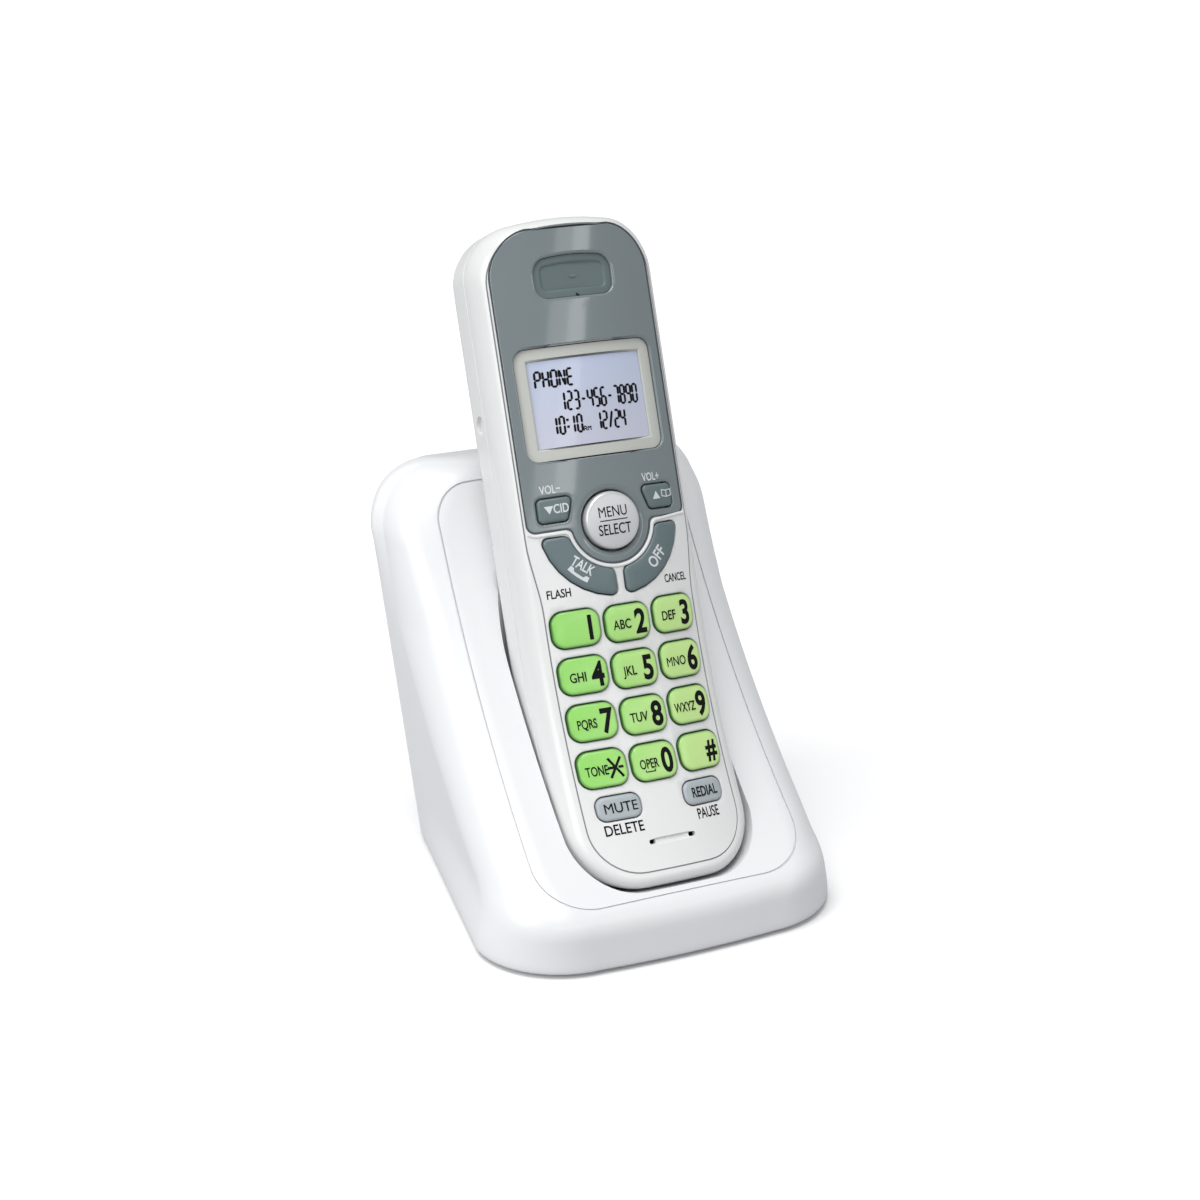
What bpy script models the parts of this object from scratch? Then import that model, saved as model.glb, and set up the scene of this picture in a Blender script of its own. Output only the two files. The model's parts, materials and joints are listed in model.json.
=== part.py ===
"""A cordless telephone handset standing in its charging base.

Lengths are in millimetres until mesh_object() writes them in metres. The handset is modelled in its
own frame, an empty at the centre of the key pad's first row: x across the face, z up along the
handset, y into its depth. The base is modelled in the world, with z up and its front towards -y.
"""

import math

import bmesh
import bpy
from mathutils import Vector

MM = 0.001

# ---- clearances and walls -------------------------------------------------------------------------
FIT = 0.3  # between pieces that touch
KEY_CLEARANCE = 0.35  # round each key in its hole
WALL = 1.8  # handset's front shell
REAR_WALL = 2.4

# ---- handset --------------------------------------------------------------------------------------
RECLINE = math.radians(21.5)
HANDSET_ORIGIN = (0.0, -14.0, 72.8)
HALF_WIDTH = 23.8
BOTTOM = -63.4
TOP = 98.3
DEPTH = 27.0
CORNER_LOW = 15.5
CORNER_HIGH = 10.0
FACE_CORNER_HIGH = 16.0  # the face is rounder at its top than the sides are
TOP_ARCH = 3.0  # how much the top edge drops towards its corners
FACE_EDGE = (3.2, 6.2)  # rounding round the face, across and deep
BACK_EDGE = 8.0  # rounding round the back
CROWN_RADIUS = 59.0  # of the face, across its width
CROWN_EDGE = 8.0  # inset of the outermost row that draws the crown
CROWN_STRIP = 3.8  # and the innermost row, from the middle
CROWN_STEP = 6.0  # the rows between are no further apart
BEND_RADIUS = 175.0  # of the lower face, which curves forwards
BACK_BEND_START = -10.0
BACK_BEND_RADIUS = 75.0
BACK_NOD_START = 80.0
BACK_NOD_RADIUS = 120.0

# ---- faceplate and display ------------------------------------------------------------------------
MENU_CENTRE = 24.5
MENU_RADIUS = 7.0
PLATE_THICKNESS = 1.3
PLATE_INSET = 3.3  # from the handset's outline
PLATE_LOW = 24.0
PLATE_COLLAR = 10.2  # radius of the plate's rounded lower end
WINDOW_LOW = 40.6
WINDOW_HIGH = 67.6
WINDOW_HALF_WIDTH = 17.7
BEZEL_DEPTH = 0.9  # the bezel's face, under the plate's
BEZEL_THICKNESS = 2.2
BEZEL_BORDER = 2.6
EAR_CENTRE = 84.2
EAR_HALF_WIDTH = 10.0
EAR_HALF_HEIGHT = 5.0

# ---- keys -----------------------------------------------------------------------------------------
KEY_SIZE = (11.5, 8.7)
KEY_WEB = (1.35, 2.58)  # between neighbouring keys, across and up
COLUMN_PITCH = KEY_SIZE[0] + KEY_WEB[0]
ROW_PITCH = KEY_SIZE[1] + KEY_WEB[1]
MIDDLE_COLUMN_DROP = 0.35
KEY_CORNER = 2.9
KEY_RISE = 0.9  # above the face
KEY_DEPTH = 3.0  # below the face
SMALL_KEY_SIZE = (10.6, 5.6)
SMALL_KEY_CENTRE = (11.1, -43.4)
CALL_KEY_INNER = 11.6
CALL_KEY_OUTER = 17.9
CALL_KEY_ANGLES = (188.5, 265.0)

# ---- inside the handset ---------------------------------------------------------------------------
FRONT_CUT = -16.0  # cutters through the face run from here
BACK_CUT = 32.0  # and cutters through the back end here
DOOR_CUT = 15.0
DOOR_THICKNESS = 1.1
DOOR_LEDGE = 2.0  # the shell's ledge under the door's edges
DOOR_TRAVEL = 6.0  # the door slides down this far before it lifts off
MIC_HOLE_X = 5.2
MIC_Z = -52.6
MIC_SIZE = (3.0, 2.2)  # radius and length of the microphone
MIC_GAP = 1.0  # behind the wall
LCD_FRONT = 3.4
LCD_BACK = 7.0
MEMBRANE_LOW = -48.5
MEMBRANE_HIGH = 33.0
MEMBRANE_HALF_WIDTH = 17.0
MEMBRANE_STATIONS = 8
MEMBRANE_DEPTH = 6.3
MEMBRANE_THICKNESS = 1.0
BOARD_DEPTH = 9.2
BOARD_THICKNESS = 1.2
CELL_RADIUS = 5.2
CELL_LENGTH = 44.0
CELL_CENTRE = 2.0
CELL_GAP = 1.3  # between the cells and the door
DOOR_HALF_WIDTH = 15.5
DOOR_LOW = -26.0
DOOR_HIGH = 31.0
CONTACT_OFFSET = 7.5  # of each charging contact from the middle

# ---- base -----------------------------------------------------------------------------------------
FLOOR_GAP = 0.8  # the housing's lower edge, above the surface it stands on
BASE_HEIGHT = 101.4
BASE_WALL = 3.0  # measured level, so a sloping wall is thinner
PANEL_FOOT = (-47.6, 15.6)  # (y, z) of the cradle panel's lower edge
PANEL_HEAD = (30.3, 98.3)  # (y, z) of its upper edge
PANEL_SAG = 6.3  # depth of the panel's hollow profile
PANEL_HALF_LOW = 35.3
PANEL_HALF_HIGH = 33.2
PANEL_CORNER_LOW = 14.0
PANEL_CORNER_HIGH = 10.0
PANEL_CROWN = 0.8  # how far the panel's middle stands proud of its sides
NOSE_RADIUS = 7.0
REAR_LOW = 42.0  # y of the back at the floor
REAR_HIGH = 52.0  # y of the back under its rounded top
FOOT_HALF_WIDTH = 46.5
WAIST_HALF_WIDTH = 43.8
REAR_HALF_WIDTH = 45.4
WAIST_HEIGHT = 18.0
HEEL_HALF_WIDTH = 37.5
TOP_CORNER = 17.0
REAR_CORNER = 11.0
SHOULDER = (13.0, 21.0)  # half axes of the front corners, across and along
FOOT_SHOULDER = (23.0, 21.0)  # and at the floor
LOWER_EDGE = 1.4  # rounding under the housing's lower edge
TOP_FRONT_EDGE = (3.0, 4.0)  # rounding of the top's front edge, along y and z
TOP_REAR_EDGE = 8.0
TOP_SHARE_HEIGHT = 85.0  # where the back reaches its full width
GROOVE = 0.5  # between the cradle panel and the housing
WELL_CLEARANCE = 1.6
WELL_WALL = 2.0
WELL_FRONT = -14.0  # the well runs out through the panel before this depth in the handset's frame
WELL_TOP = 60.0  # and is open above
SEAT_GAP = 0.4  # under the handset's lower end
CONTACT_DEPTH = 0.6  # of the charging pins' axes, in the handset's frame
CONTACT_WIDTH = 4.4
PIN_RADIUS = 1.5
PIN_SHANK = 6.4
FIND_KEY_PLACE = 104.0  # up the panel from its lower edge
FIND_KEY_RADIUS = 4.5
FIND_KEY_RISE = 1.0
FOOT_RADIUS = 4.5
FOOT_THICKNESS = 1.8
FOOT_PLACES = ((-34.0, -33.0), (34.0, -33.0), (-25.0, 25.0), (25.0, 25.0))
UNDERSIDE = 1.1  # of the base plate
UNDERSIDE_INSET = 4.4  # of the base plate's edge from the housing's outside
BASE_PLATE_THICKNESS = 2.0
JACK_WALL = 2.0
LINE_JACK_X = 12.0
LINE_SOCKET = (9.8, 7.0, 9.0)  # across, up and deep
POWER_JACK_X = -12.0
POWER_SOCKET_RADIUS = 2.75
POWER_SOCKET_DEPTH = 9.0
POWER_PIN_RADIUS = 0.85
JACK_Z = 16.0

COLOURS = {
    "white_gloss": ((0.83, 0.84, 0.84), 0.22, 0.0),
    "plate_grey": ((0.22, 0.26, 0.27), 0.16, 0.0),
    "bezel_grey": ((0.62, 0.62, 0.57), 0.35, 0.0),
    "display_blue": ((0.55, 0.62, 0.78), 0.12, 0.0),
    "green_key": ((0.32, 0.62, 0.17), 0.3, 0.0),
    "slate_key": ((0.16, 0.21, 0.23), 0.34, 0.0),
    "blue_grey_key": ((0.42, 0.45, 0.5), 0.3, 0.0),
    "silver": ((0.72, 0.73, 0.74), 0.25, 0.6),
    "ear_grey": ((0.13, 0.16, 0.16), 0.4, 0.0),
    "black": ((0.03, 0.03, 0.03), 0.5, 0.0),
    "rubber": ((0.08, 0.08, 0.08), 0.85, 0.0),
    "membrane": ((0.75, 0.75, 0.72), 0.7, 0.0),
    "board_green": ((0.03, 0.18, 0.08), 0.45, 0.0),
    "nickel": ((0.7, 0.68, 0.63), 0.25, 1.0),
    "cell_wrap": ((0.1, 0.25, 0.45), 0.35, 0.0),
    "steel": ((0.55, 0.56, 0.58), 0.3, 1.0),
}


# ---- scene helpers --------------------------------------------------------------------------------
def clear_scene():
    for item in list(bpy.data.objects):
        bpy.data.objects.remove(item, do_unlink=True)


def collection(name):
    made = bpy.data.collections.new(name)
    bpy.context.scene.collection.children.link(made)
    return made


def material(name):
    found = bpy.data.materials.get(name)
    if found:
        return found
    colour, roughness, metallic = COLOURS[name]
    made = bpy.data.materials.new(name)
    made.use_nodes = True
    shader = made.node_tree.nodes["Principled BSDF"]
    shader.inputs["Base Color"].default_value = (*colour, 1.0)
    shader.inputs["Roughness"].default_value = roughness
    shader.inputs["Metallic"].default_value = metallic
    return made


def mesh_object(name, mesh, group, frame=None):
    """Turn a bmesh in millimetres into an object in metres."""
    bmesh.ops.recalc_face_normals(mesh, faces=mesh.faces)
    bmesh.ops.scale(mesh, vec=(MM, MM, MM), verts=mesh.verts)
    data = bpy.data.meshes.new(name)
    mesh.to_mesh(data)
    mesh.free()
    made = bpy.data.objects.new(name, data)
    group.objects.link(made)
    made.parent = frame
    return made


def move_origin(item, point):
    """Put an object's origin on its joint axis, with its shape where it was."""
    shift = Vector(point) * MM
    for vertex in item.data.vertices:
        vertex.co -= shift
    item.location = item.location + shift


def loft(rings, caps="flat flat"):
    """Join rings that have the same number of points. A ladder cap spans a ring that is the same
    on its left and right, rung by rung, so that it can follow a curved surface."""
    mesh = bmesh.new()
    rows = [[mesh.verts.new(point) for point in ring] for ring in rings]
    count = len(rows[0])
    for near, far in zip(rows, rows[1:]):
        for i in range(count):
            j = (i + 1) % count
            mesh.faces.new((near[i], near[j], far[j], far[i]))
    for row, cap in zip((rows[0], rows[-1]), caps.split()):
        if cap == "flat":
            mesh.faces.new(row)
        elif cap == "ladder":
            for i in range(count // 2 - 1):
                mesh.faces.new((row[i], row[i + 1], row[-2 - i], row[-1 - i]))
    return mesh


def joined(meshes):
    """Several separate solids as one, to cut with."""
    whole = bmesh.new()
    for mesh in meshes:
        data = bpy.data.meshes.new("step")
        bmesh.ops.recalc_face_normals(mesh, faces=mesh.faces)
        mesh.to_mesh(data)
        mesh.free()
        whole.from_mesh(data)
        bpy.data.meshes.remove(data)
    return whole


def box(low, high):
    mesh = bmesh.new()
    bmesh.ops.create_cube(mesh, size=1.0)
    size = [b - a for a, b in zip(low, high)]
    bmesh.ops.scale(mesh, vec=size, verts=mesh.verts)
    centre = [(a + b) / 2 for a, b in zip(low, high)]
    bmesh.ops.translate(mesh, vec=centre, verts=mesh.verts)
    return mesh


def cylinder(centre, radius, length, axis, segments=24):
    mesh = bmesh.new()
    bmesh.ops.create_cone(mesh, cap_ends=True, segments=segments, radius1=radius, radius2=radius,
                          depth=length)
    turn = Vector((0, 0, 1)).rotation_difference(Vector(axis)).to_matrix()
    bmesh.ops.rotate(mesh, cent=(0, 0, 0), matrix=turn, verts=mesh.verts)
    bmesh.ops.translate(mesh, vec=centre, verts=mesh.verts)
    return mesh


def boolean(item, tool, operation="DIFFERENCE"):
    step = item.modifiers.new(operation.title(), "BOOLEAN")
    step.operation = operation
    step.solver = "EXACT"
    step.object = tool


def bevel(item, width, segments=2, angle=40):
    step = item.modifiers.new("Bevel", "BEVEL")
    step.width = width * MM
    step.segments = segments
    step.limit_method = "ANGLE"
    step.angle_limit = math.radians(angle)
    step.harden_normals = False


def solidify(item, wall):
    step = item.modifiers.new("Solidify", "SOLIDIFY")
    step.thickness = wall * MM
    step.offset = -1.0
    step.use_even_offset = True
    step.use_rim = True


def turned(name, profile, group, frame, steps=24):
    """A solid of revolution about its own z axis; profile runs from the top down."""
    mesh = bmesh.new()
    points = [mesh.verts.new((radius, 0, height)) for radius, height in profile]
    for near, far in zip(points, points[1:]):
        mesh.edges.new((near, far))
    bmesh.ops.scale(mesh, vec=(MM, MM, MM), verts=mesh.verts)
    data = bpy.data.meshes.new(name)
    mesh.to_mesh(data)
    mesh.free()
    made = bpy.data.objects.new(name, data)
    group.objects.link(made)
    made.parent = frame
    step = made.modifiers.new("Screw", "SCREW")
    step.axis = "Z"
    step.steps = steps
    step.render_steps = steps
    step.use_merge_vertices = True
    step.merge_threshold = 0.00001
    return made


# ---- outlines -------------------------------------------------------------------------------------
def arc(centre, radius, start, end, steps):
    """Points of an arc from start to end, in degrees."""
    points = []
    for i in range(steps + 1):
        angle = math.radians(start + (end - start) * i / steps)
        points.append((centre[0] + radius * math.cos(angle), centre[1] + radius * math.sin(angle)))
    return points


def rounded_outline(half_width, low, high, corner_low, corner_high, inset=0.0, steps=4, arch=0.0,
                    stations=0):
    """A rounded rectangle in (x, z), anticlockwise from its lower right corner. Each upright side
    has some stations, where it can follow a curved surface."""
    half = half_width - inset
    low, high = low + inset, high - inset
    most = min(half, (high - low) / 2) - 0.05
    small = 0.3
    r_low = max(small, min(corner_low - inset, most))
    r_high = max(small, min(corner_high - inset, most))
    right = arc((half - r_low, low + r_low), r_low, -90, 0, steps)
    start, end = low + r_low, high - r_high
    right += [(half, start + (end - start) * i / (stations + 1)) for i in range(1, stations + 1)]
    right += arc((half - r_high, high - r_high), r_high, 0, 90, steps)
    points = right + [(-x, z) for x, z in reversed(right)]
    middle = (low + high) / 2
    return [(x, z - (arch * (x / half_width) ** 2 if z > middle else 0.0)) for x, z in points]


def grown(outline, distance):
    """The outline moved outwards by a distance (inwards if it is negative)."""
    count = len(outline)
    result = []
    for i, point in enumerate(outline):
        before = Vector(outline[i - 1])
        after = Vector(outline[(i + 1) % count])
        here = Vector(point)
        first = (here - before).normalized()
        second = (after - here).normalized()
        normal_first = Vector((first.y, -first.x))
        normal_second = Vector((second.y, -second.x))
        normal = (normal_first + normal_second).normalized()
        reach = distance / max(0.4, normal.dot(normal_first))
        result.append(tuple(here + normal * reach))
    return result


# ---- handset surfaces -----------------------------------------------------------------------------
def bend(z):
    return -z * z / (2 * BEND_RADIUS) if z < 0 else 0.0


def face(x, z):
    """Depth of the handset's face."""
    return x * x / (2 * CROWN_RADIUS) + bend(z)


def back(z):
    """Depth of the handset's back."""
    depth = DEPTH
    if z < BACK_BEND_START:
        depth -= (z - BACK_BEND_START) ** 2 / (2 * BACK_BEND_RADIUS)
    if z > BACK_NOD_START:
        depth -= (z - BACK_NOD_START) ** 2 / (2 * BACK_NOD_RADIUS)
    return depth


def parting(z):
    """Depth of the seam between the handset's two shells."""
    return (bend(z) + back(z)) / 2 - 1.0


def edge_depth(x, z):
    """Depth of the rounding round the face, which stops short of the seam."""
    return min(FACE_EDGE[1], parting(z) - face(x, z) - 0.6)


def handset_outline(inset, share=1.0):
    """The handset's outline drawn in; share 0 has the corners of its sides, 1 those of its face."""
    corner = CORNER_HIGH + (FACE_CORNER_HIGH - CORNER_HIGH) * share
    return rounded_outline(HALF_WIDTH, BOTTOM, TOP, CORNER_LOW, corner, inset, 5, TOP_ARCH, 12)


def crown_rows():
    """Insets of the rows that draw the face's crown."""
    span = HALF_WIDTH - CROWN_STRIP - CROWN_EDGE
    count = math.ceil(span / CROWN_STEP - 0.1)
    return [CROWN_EDGE + span * i / count for i in range(count + 1)]


def straight_prism(outline, near, far):
    """A solid along y between two depths."""
    return loft([[(x, far, z) for x, z in outline], [(x, near, z) for x, z in outline]])


def face_slab(near, far):
    """A slab over the whole face, between two depths under it, for the faceplate and its pocket."""
    insets = [PLATE_INSET - 1.0] + crown_rows()
    lower = [[(x, face(x, z) + far, z) for x, z in handset_outline(d)] for d in reversed(insets)]
    upper = [[(x, face(x, z) + near, z) for x, z in handset_outline(d)] for d in insets]
    return loft(lower + upper, "ladder ladder")


def back_slab(near, far):
    """A slab over the back's flat, between two depths under it."""
    insets = (BACK_EDGE - 0.5, 13.0, 20.0)
    outer = [[(x, back(z) - near, z) for x, z in handset_outline(d, 0)] for d in insets]
    inner = [[(x, back(z) - far, z) for x, z in handset_outline(d, 0)] for d in reversed(insets)]
    return loft(inner + outer, "ladder ladder")


def plate_outline(inset=0.0):
    """The faceplate: the face's outline above, a collar round the menu key below."""
    edge = PLATE_INSET + inset
    half = HALF_WIDTH - edge
    low = PLATE_LOW + inset
    high = TOP - edge
    radius = FACE_CORNER_HIGH - edge
    collar = PLATE_COLLAR - inset
    corner = 1.5
    points = arc((half - corner, low + corner), corner, -90, 0, 3)
    points += [(half, low + (high - low) * i / 8) for i in range(1, 6)]
    points += arc((half - radius, high - radius), radius, 0, 90, 5)
    points += arc((-half + radius, high - radius), radius, 90, 180, 5)
    points += [(-half, low + (high - low) * i / 8) for i in range(5, 0, -1)]
    points += arc((-half + corner, low + corner), corner, 180, 270, 3)
    points += [(-collar - 1.6, low)]
    points += arc((0, MENU_CENTRE), collar, 192, 348, 12)
    points += [(collar + 1.6, low)]
    return [(x, z - (TOP_ARCH * (x / HALF_WIDTH) ** 2 if z > high - radius else 0.0))
            for x, z in points]


def rectangle(centre, size, corner, steps=3):
    x, z = centre
    half, tall = size[0] / 2, size[1] / 2
    outline = rounded_outline(half, -tall, tall, corner, corner, 0.0, steps)
    return [(x + a, z + b) for a, b in outline]


def rounded_polygon(corners, radius, steps=2):
    """Corners given anticlockwise, each rounded by an arc of the same radius."""
    points = []
    count = len(corners)
    for i, corner in enumerate(corners):
        here = Vector(corner)
        back_way = (Vector(corners[i - 1]) - here).normalized()
        on_way = (Vector(corners[(i + 1) % count]) - here).normalized()
        half_angle = back_way.angle(on_way) / 2
        reach = radius / math.tan(half_angle)
        centre = here + (back_way + on_way).normalized() * (radius / math.sin(half_angle))
        start = here + back_way * reach - centre
        end = here + on_way * reach - centre
        for k in range(steps + 1):
            spoke = start.lerp(end, k / steps).normalized() * radius
            points.append(tuple(centre + spoke))
    return points


def call_key_outline(side):
    """A quarter of a ring round the menu key: side -1 is the left one."""
    start, end = CALL_KEY_ANGLES
    middle = (CALL_KEY_INNER + CALL_KEY_OUTER) / 2
    trim_out = math.degrees(1.0 / CALL_KEY_OUTER)
    trim_in = math.degrees(1.0 / CALL_KEY_INNER)
    centre = (0.0, MENU_CENTRE)
    outer = arc(centre, CALL_KEY_OUTER, start + trim_out, end - trim_out, 7)
    inner = arc(centre, CALL_KEY_INNER, end - trim_in, start + trim_in, 6)
    tip = arc(centre, middle, end, end, 1)[:1]
    root = arc(centre, middle, start, start, 1)[:1]
    points = outer + tip + inner + root
    if side > 0:
        points = [(-x, z) for x, z in reversed(points)]
    return points


def volume_key_outline(side):
    corners = [(11.0, 25.9), (17.5, 25.9), (17.5, 31.8), (9.2, 31.8)]
    if side < 0:
        corners = [(-x, z) for x, z in reversed(corners)]
    return rounded_polygon(corners, 1.0)


def digit_centres():
    """The twelve keys' names and centres, row by row."""
    names = ("1", "2", "3", "4", "5", "6", "7", "8", "9", "star", "0", "hash")
    for i, name in enumerate(names):
        row, column = divmod(i, 3)
        drop = MIDDLE_COLUMN_DROP if column == 1 else 0.0
        yield "key_" + name, ((column - 1) * COLUMN_PITCH, -row * ROW_PITCH - drop)


def key_list():
    """Each key but the round one: name, outline, centre, material, rise above the face."""
    keys = []
    for name, centre in digit_centres():
        keys.append((name, rectangle(centre, KEY_SIZE, KEY_CORNER), centre, "green_key", KEY_RISE))
    for name, side in (("mute_key", -1), ("redial_key", 1)):
        centre = (side * SMALL_KEY_CENTRE[0], SMALL_KEY_CENTRE[1])
        outline = rectangle(centre, SMALL_KEY_SIZE, 1.9)
        keys.append((name, outline, centre, "blue_grey_key", KEY_RISE * 0.7))
    for name, side in (("talk_key", -1), ("off_key", 1)):
        reach = (CALL_KEY_INNER + CALL_KEY_OUTER) / 2 * math.sqrt(0.5)
        centre = (side * reach, MENU_CENTRE - reach)
        keys.append((name, call_key_outline(side), centre, "slate_key", KEY_RISE * 0.8))
    for name, side in (("volume_down_key", -1), ("volume_up_key", 1)):
        centre = (side * 13.8, 28.9)
        keys.append((name, volume_key_outline(side), centre, "slate_key", KEY_RISE * 0.6))
    return keys


# ---- handset --------------------------------------------------------------------------------------
def front_shell_rings():
    rings = [[(x, parting(z), z) for x, z in handset_outline(0, 0)]]
    for degrees in (0, 22, 45, 67, 90):
        angle = math.radians(degrees)
        inset = FACE_EDGE[0] * (1 - math.cos(angle))
        turned_in = 1 - math.sin(angle)
        outline = handset_outline(inset, degrees / 90)
        rings.append([(x, face(x, z) + edge_depth(x, z) * turned_in, z) for x, z in outline])
    for inset in crown_rows():
        rings.append([(x, face(x, z), z) for x, z in handset_outline(inset)])
    return rings


def rear_shell_rings():
    rings = [[(x, parting(z) + FIT, z) for x, z in handset_outline(0, 0)]]
    for degrees in (0, 30, 60, 90):
        angle = math.radians(degrees)
        inset = BACK_EDGE * (1 - math.cos(angle))
        drop = BACK_EDGE * (1 - math.sin(angle))
        rings.append([(x, back(z) - drop, z) for x, z in handset_outline(inset, 0)])
    for inset in (14.0, 20.0):
        rings.append([(x, back(z), z) for x, z in handset_outline(inset, 0)])
    return rings


def key_mesh(outline, centre, rise):
    """A key that stands in its hole, with a soft edge round a top that follows the face."""
    foot = face(*centre) + KEY_DEPTH
    rings = [[(x, foot, z) for x, z in outline]]
    for inset, share in ((0.0, 0.45), (0.35, 0.85), (0.9, 1.0)):
        rings.append([(x, face(x, z) - rise * share, z) for x, z in grown(outline, -inset)])
    return loft(rings)


class Bench:
    """Where one assembly's pieces are made: its collections and its frame."""

    def __init__(self, parts, cutters, frame=None):
        self.parts = parts
        self.cutters = cutters
        self.frame = frame

    def piece(self, name, mesh, look):
        made = mesh_object(name, mesh, self.parts, self.frame)
        made.data.materials.append(material(look))
        return made

    def cutter(self, name, mesh):
        made = mesh_object(name, mesh, self.cutters, self.frame)
        made.display_type = "WIRE"
        made.hide_render = True
        return made

    def face_piece(self, name, outline, near, far, look):
        """A piece of the slab under the face, between two depths, within an outline."""
        made = self.piece(name, face_slab(near, far), look)
        keep = self.cutter("keep_" + name, straight_prism(outline, FRONT_CUT, BACK_CUT))
        boolean(made, keep, "INTERSECT")
        return made


def make_front(bench, keys):
    shell = bench.piece("handset_front_shell", loft(front_shell_rings(), "none ladder"), "white_gloss")
    solidify(shell, WALL)
    pocket = bench.cutter("cut_plate_pocket", face_slab(-4.0, PLATE_THICKNESS + FIT))
    keep = bench.cutter("keep_plate_pocket", straight_prism(plate_outline(-FIT), FRONT_CUT, BACK_CUT))
    boolean(pocket, keep, "INTERSECT")
    boolean(shell, pocket)

    window = rounded_outline(WINDOW_HALF_WIDTH + FIT, WINDOW_LOW - FIT, WINDOW_HIGH + FIT, 2.5, 2.5)
    ear = rectangle((0, EAR_CENTRE), (2 * (EAR_HALF_WIDTH + FIT), 2 * (EAR_HALF_HEIGHT + FIT)), 2.4)
    menu = arc((0, MENU_CENTRE), MENU_RADIUS + KEY_CLEARANCE, 0, 345, 23)
    through_plate = [window, ear, menu]
    through_shell = []
    for name, outline, centre, look, rise in keys:
        hole = grown(outline, KEY_CLEARANCE)
        (through_plate if "volume" in name else through_shell).append(hole)
    for side in (-1, 1):
        through_shell.append(rectangle((side * MIC_HOLE_X, MIC_Z), (1.3, 1.1), 0.4, 2))
    holes = bench.cutter("cut_plate_holes",
                         joined([straight_prism(o, FRONT_CUT, BACK_CUT) for o in through_plate]))
    more = bench.cutter("cut_key_holes",
                        joined([straight_prism(o, FRONT_CUT, BACK_CUT)
                                for o in through_plate + through_shell]))
    boolean(shell, more)

    plate = bench.face_piece("faceplate", plate_outline(), 0.0, PLATE_THICKNESS, "plate_grey")
    boolean(plate, holes)


def make_display(bench):
    outline = rounded_outline(WINDOW_HALF_WIDTH, WINDOW_LOW, WINDOW_HIGH, 2.2, 2.2)
    bezel = bench.face_piece("lcd_bezel", outline, BEZEL_DEPTH, BEZEL_DEPTH + BEZEL_THICKNESS, "bezel_grey")
    glass = rounded_outline(WINDOW_HALF_WIDTH, WINDOW_LOW, WINDOW_HIGH, 3.2, 3.2, BEZEL_BORDER)
    boolean(bezel, bench.cutter("cut_glass", straight_prism(glass, FRONT_CUT, BACK_CUT)))
    screen = rounded_outline(WINDOW_HALF_WIDTH, WINDOW_LOW, WINDOW_HIGH, 3.2, 3.2, BEZEL_BORDER + FIT)
    bench.piece("lcd_module", straight_prism(screen, LCD_FRONT, LCD_BACK), "display_blue")


def make_earpiece(bench):
    outline = rectangle((0, EAR_CENTRE), (2 * EAR_HALF_WIDTH, 2 * EAR_HALF_HEIGHT), 2.2)
    cover = bench.face_piece("earpiece_cover", outline, 0.8, 2.4, "ear_grey")
    slot = rectangle((0, EAR_CENTRE), (7.0, 1.4), 0.6)
    boolean(cover, bench.cutter("cut_ear_slot", straight_prism(slot, FRONT_CUT, BACK_CUT)))
    bench.piece("earpiece_speaker", cylinder((0, 6.0, EAR_CENTRE - 2.0), 9.0, 4.0, (0, 1, 0)), "black")


def make_keys(bench, keys):
    for name, outline, centre, look, rise in keys:
        key = bench.piece(name, key_mesh(outline, centre, rise), look)
        move_origin(key, (centre[0], face(*centre), centre[1]))
    crown = KEY_RISE + 0.5
    dome = ((0.0, crown), (MENU_RADIUS * 0.5, crown - 0.15), (MENU_RADIUS - 1.0, crown - 0.5),
            (MENU_RADIUS, crown - 1.2), (MENU_RADIUS, -KEY_DEPTH), (0.0, -KEY_DEPTH))
    menu = turned("menu_key", dome, bench.parts, bench.frame, 32)
    menu.location = (0, 0, MENU_CENTRE * MM)
    menu.rotation_euler = (math.pi / 2, 0, 0)
    menu.data.materials.append(material("silver"))

    sections = []
    for i in range(MEMBRANE_STATIONS + 1):
        z = MEMBRANE_LOW + (MEMBRANE_HIGH - MEMBRANE_LOW) * i / MEMBRANE_STATIONS
        near = bend(z) + MEMBRANE_DEPTH
        far = near + MEMBRANE_THICKNESS
        half = MEMBRANE_HALF_WIDTH
        sections.append([(-half, near, z), (half, near, z), (half, far, z), (-half, far, z)])
    bench.piece("keypad_membrane", loft(sections), "membrane")


def make_rear(bench):
    """The rear shell, with a recess that the battery door slides down in."""
    shell = bench.piece("handset_rear_shell", loft(rear_shell_rings(), "none ladder"), "white_gloss")
    solidify(shell, REAR_WALL)
    room = rounded_outline(DOOR_HALF_WIDTH, DOOR_LOW - DOOR_TRAVEL - FIT, DOOR_HIGH, 3.0, 3.0)
    recess = bench.cutter("cut_door_recess", back_slab(-5.0, DOOR_THICKNESS + FIT))
    boolean(recess, bench.cutter("keep_door_recess", straight_prism(room, 0.0, BACK_CUT)), "INTERSECT")
    boolean(shell, recess)
    hole = rounded_outline(DOOR_HALF_WIDTH, DOOR_LOW, DOOR_HIGH, 3.0, 3.0, DOOR_LEDGE)
    boolean(shell, bench.cutter("cut_compartment", straight_prism(hole, DOOR_CUT, BACK_CUT)))

    door = bench.piece("battery_door", back_slab(0.0, DOOR_THICKNESS), "white_gloss")
    leaf = rounded_outline(DOOR_HALF_WIDTH, DOOR_LOW, DOOR_HIGH, 3.0, 3.0, FIT)
    boolean(door, bench.cutter("keep_door", straight_prism(leaf, 0.0, BACK_CUT)), "INTERSECT")
    return shell


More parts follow.
